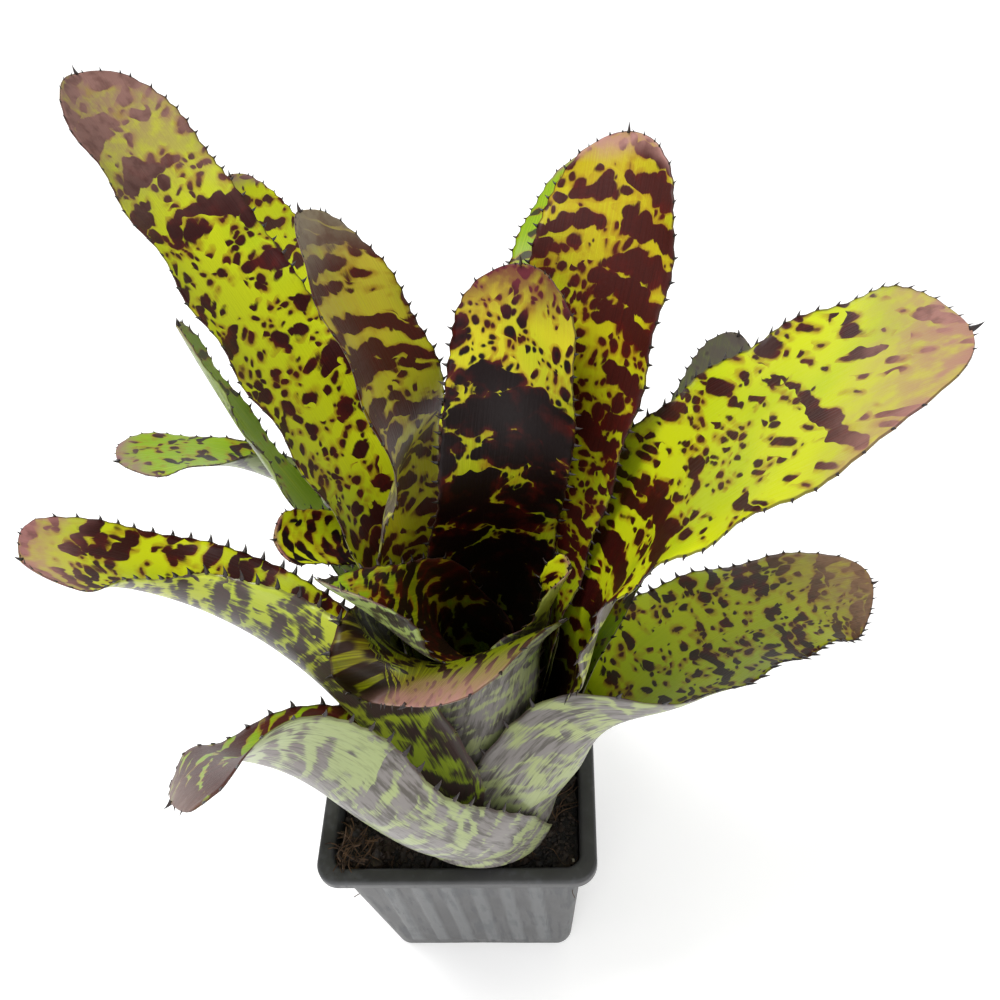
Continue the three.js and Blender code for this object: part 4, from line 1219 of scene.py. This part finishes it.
def scatter_tree(name, shape):
    """Scatters a shape on the faces where bearing is set, turned and sized at random."""
    tree = Tree(name, "Count", "Seed", "Smallest", "Largest", "Tilt", "Finish")
    seed, tilt = tree.input("Seed"), tree.input("Tilt")
    bearing = tree.above(tree.attribute("bearing"), 0.5)
    points = tree.add("GeometryNodeDistributePointsOnFaces", Mesh=tree.input(), Selection=bearing,
                      Density=tree.input("Count"), Seed=seed)

    def chance(step, low, high):
        """A number for each point; each step draws its own."""
        own = tree.add("FunctionNodeIntegerMath", {"operation": "ADD"}, seed, step)
        return tree.add("FunctionNodeRandomValue", {"data_type": "FLOAT"}, None, None, low, high, output=1,
                        Seed=own)

    turn = chance(0, 0.0, 2 * math.pi)
    lean, roll = (chance(step, tilt * -1.0, tilt) for step in (1, 2))
    size = chance(3, tree.input("Smallest"), tree.input("Largest"))
    rotation = tree.add("FunctionNodeEulerToRotation", None, tree.vector(lean, roll, turn))
    return tree.finish(tree.instances(points, shape(tree), rotation, size))


def rough_shape(tree, geometry, scale, amount):
    """Moves the points of a shape by noise, so that no side is flat."""
    position = tree.add("GeometryNodeInputPosition")
    noise = tree.add("ShaderNodeTexNoise", None, output=1, Vector=position, Scale=scale, Detail=1.0)
    centred = tree.add("ShaderNodeVectorMath", {"operation": "SUBTRACT"}, noise, (0.5, 0.5, 0.5))
    moved = tree.add("ShaderNodeVectorMath", {"operation": "MULTIPLY"}, centred, (amount,) * 3)
    return tree.add("GeometryNodeSetPosition", Geometry=geometry, Offset=moved)


def chip_shape(tree):
    """A bark chip one unit long, with broken ends."""
    box = tree.add("GeometryNodeMeshCube", Size=(1.0, 0.55, 0.26), Vertices_X=5, Vertices_Y=4, Vertices_Z=2)
    return rough_shape(tree, box, 2.6, 0.42)


def crumb_shape(tree):
    ball = tree.add("GeometryNodeMeshIcoSphere", Radius=0.5, Subdivisions=2)
    return rough_shape(tree, ball, 3.1, 0.5)


def fibre_shape(tree):
    """A fibre one unit long, bowed, with a thin round section."""
    line = tree.add("GeometryNodeCurvePrimitiveBezierSegment", Resolution=7, Start=(-0.5, 0, 0),
                    Start_Handle=(-0.2, 0.25, 0.16), End_Handle=(0.2, -0.22, 0.1), End=(0.5, 0.08, 0.02))
    ring = tree.add("GeometryNodeCurvePrimitiveCircle", Resolution=5, Radius=0.014)
    return tree.add("GeometryNodeCurveToMesh", Curve=line, Profile_Curve=ring, Fill_Caps=True)


def mix_finish():
    mix = Finish("damp peat", Specular_IOR_Level=0.4)
    place = mix.place()
    clod = mix.noise(place, 420.0, 5.0, 0.65)
    crumb = mix.cells(place, 900.0)
    damp = mix.noise(place, 50.0, 2.0)
    base = mix.mix(clod.ramp(0.35, 0.75), (8, 7, 6), (38, 31, 25))
    base = mix.mix(damp.ramp(0.4, 0.7) * 0.4, base, (8, 7, 6))
    mix.feed(Base_Color=base, Roughness=0.72 + clod * 0.25 - damp * 0.2,
             Normal=mix.bump(clod + crumb * 0.7, 0.9, 0.0009))
    return mix.material


def bark_finish(name, dark, light, roughness):
    bark = Finish(name, Specular_IOR_Level=0.35)
    place = bark.place()
    grain = bark.noise(bark.stretched(place, (700.0, 260.0, 900.0)), 1.0, 3.0)
    patch = bark.noise(place, 120.0)
    base = bark.mix((grain * 0.5 + patch * 0.6).ramp(0.35, 0.72), dark, light)
    bark.feed(Base_Color=base, Roughness=roughness + grain * 0.2,
              Normal=bark.bump(grain + patch * 0.4, 0.7, 0.0005))
    return bark.material


def bearing_patch(name, inside):
    """A copy of the mix's top that only carries scattered bits; inside(x, y, z) says where."""
    mesh = mix_mesh()
    places = np.zeros(len(mesh.vertices) * 3, np.float32)
    mesh.vertices.foreach_get("co", places)
    places = places.reshape(-1, 3) / MM
    attribute(mesh, "bearing", inside(*places.T).astype(np.float32))
    return add_piece(name, mesh)


def scatter(name, shape, inside, material, count, seed, sizes, tilt):
    """Bits of one shape on the mix, where inside says; sizes are the least and the most."""
    values = {"Count": count / (BODY_WIDTH * MM) ** 2, "Seed": seed, "Smallest": sizes[0] * MM,
              "Largest": sizes[1] * MM, "Tilt": tilt, "Finish": material}
    mesh = grown(bearing_patch(name + "_seat", inside), scatter_tree(name, shape), values)
    mesh.polygons.foreach_set("use_smooth", [False] * len(mesh.polygons))
    settle(add_piece(name, mesh), "mix")


def make_mix():
    settle(add_piece("loose_mix", mix_mesh(), mix_finish()), "mix", "potting_mix")
    bark = bark_finish("wet bark", (14, 11, 9), (54, 42, 33), 0.5)
    straw = bark_finish("coir fibre", (36, 25, 18), (96, 72, 50), 0.7)
    pale = bark_finish("pale grit", (150, 138, 120), (214, 206, 192), 0.8)

    def on_top(x, y, z):
        within = np.maximum(abs(x), abs(y)) < BODY_WIDTH / 2 - BARE_EDGE
        return (z > RIM - MIX_DROP - LOWEST_BIT) & within

    def on_heap(x, y, z):
        return on_top(x, y, z) & (heap(x, y) > HEAP_HEIGHT / 4)

    crowd = (BODY_WIDTH / HEAP_WIDTH) ** 2 / 4
    scatter("bark_chips", chip_shape, on_top, bark, CHIP_COUNT, 5, (2.0, 6.5), 0.5)
    scatter("peat_crumbs", crumb_shape, on_top, bark, 4 * CHIP_COUNT, 9, (0.5, 1.7), 1.5)
    scatter("coir_fibres", fibre_shape, on_top, straw, FIBRE_COUNT, 13, (5.0, 14.0), 0.45)
    scatter("root_clump", fibre_shape, on_heap, straw, crowd * CLUMP_COUNT, 21, (7.0, 17.0), 0.8)
    scatter("pale_grit", crumb_shape, on_top, pale, PALE_COUNT, 17, (0.8, 1.7), 1.5)


make_mix()


def make_stem():
    """Gives the frame's own solid a finish; it is deep between the leaf bases."""
    wood = Finish("stem", Specular_IOR_Level=0.3)
    grain = wood.noise(wood.place(), 500.0, 4.0)
    wood.feed(Base_Color=wood.mix(grain.ramp(0.3, 0.7), (84, 92, 44), (150, 150, 96)),
              Roughness=0.55 + grain * 0.2, Normal=wood.bump(grain, 0.5, 0.0005))
    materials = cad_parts["stem"].data.materials
    materials.clear()
    materials.append(wood.material)


make_stem()

# ---- Floor and light ----
FLOOR_SIZE = 6.0
FLOOR_GLOW = 0.3
SKY = 0.66
LIT = Vector((0.0, 0.0, 0.12))  # what the lamps aim at


def make_floor():
    half = FLOOR_SIZE / 2
    corners = [(-half, -half, 0), (half, -half, 0), (half, half, 0), (-half, half, 0)]
    floor = Finish("pale floor", Roughness=0.6, Emission_Color=(1, 1, 1, 1), Emission_Strength=FLOOR_GLOW)
    paper = floor.noise(floor.place(), 30.0)
    floor.feed(Base_Color=floor.mix(paper, (240, 240, 240), (244, 244, 244)))
    add_piece("floor", plain_mesh("floor", corners, [(0, 1, 2, 3)]), floor.material)


def area_light(name, place, size, power):
    lamp = bpy.data.lights.new(name, "AREA")
    lamp.shape = "DISK"
    lamp.size = size
    lamp.energy = power
    light = bpy.data.objects.new(name, lamp)
    aim = LIT - Vector(place)
    light.matrix_world = Matrix.Translation(place) @ aim.to_track_quat("-Z", "Y").to_matrix().to_4x4()
    bpy.context.scene.collection.objects.link(light)


def make_light():
    world = bpy.data.worlds.new("studio")
    world.use_nodes = True
    background = world.node_tree.nodes["Background"]
    background.inputs[0].default_value = (1, 1, 1, 1)
    background.inputs[1].default_value = SKY
    bpy.context.scene.world = world
    bpy.context.scene.view_settings.view_transform = "Standard"
    area_light("key", (-0.35, 0.1, 1.15), 0.45, 10)
    area_light("fill", (0.7, -0.7, 0.8), 0.9, 4)
    area_light("front", (-0.3, -0.9, 0.35), 0.6, 2.5)


make_floor()
make_light()
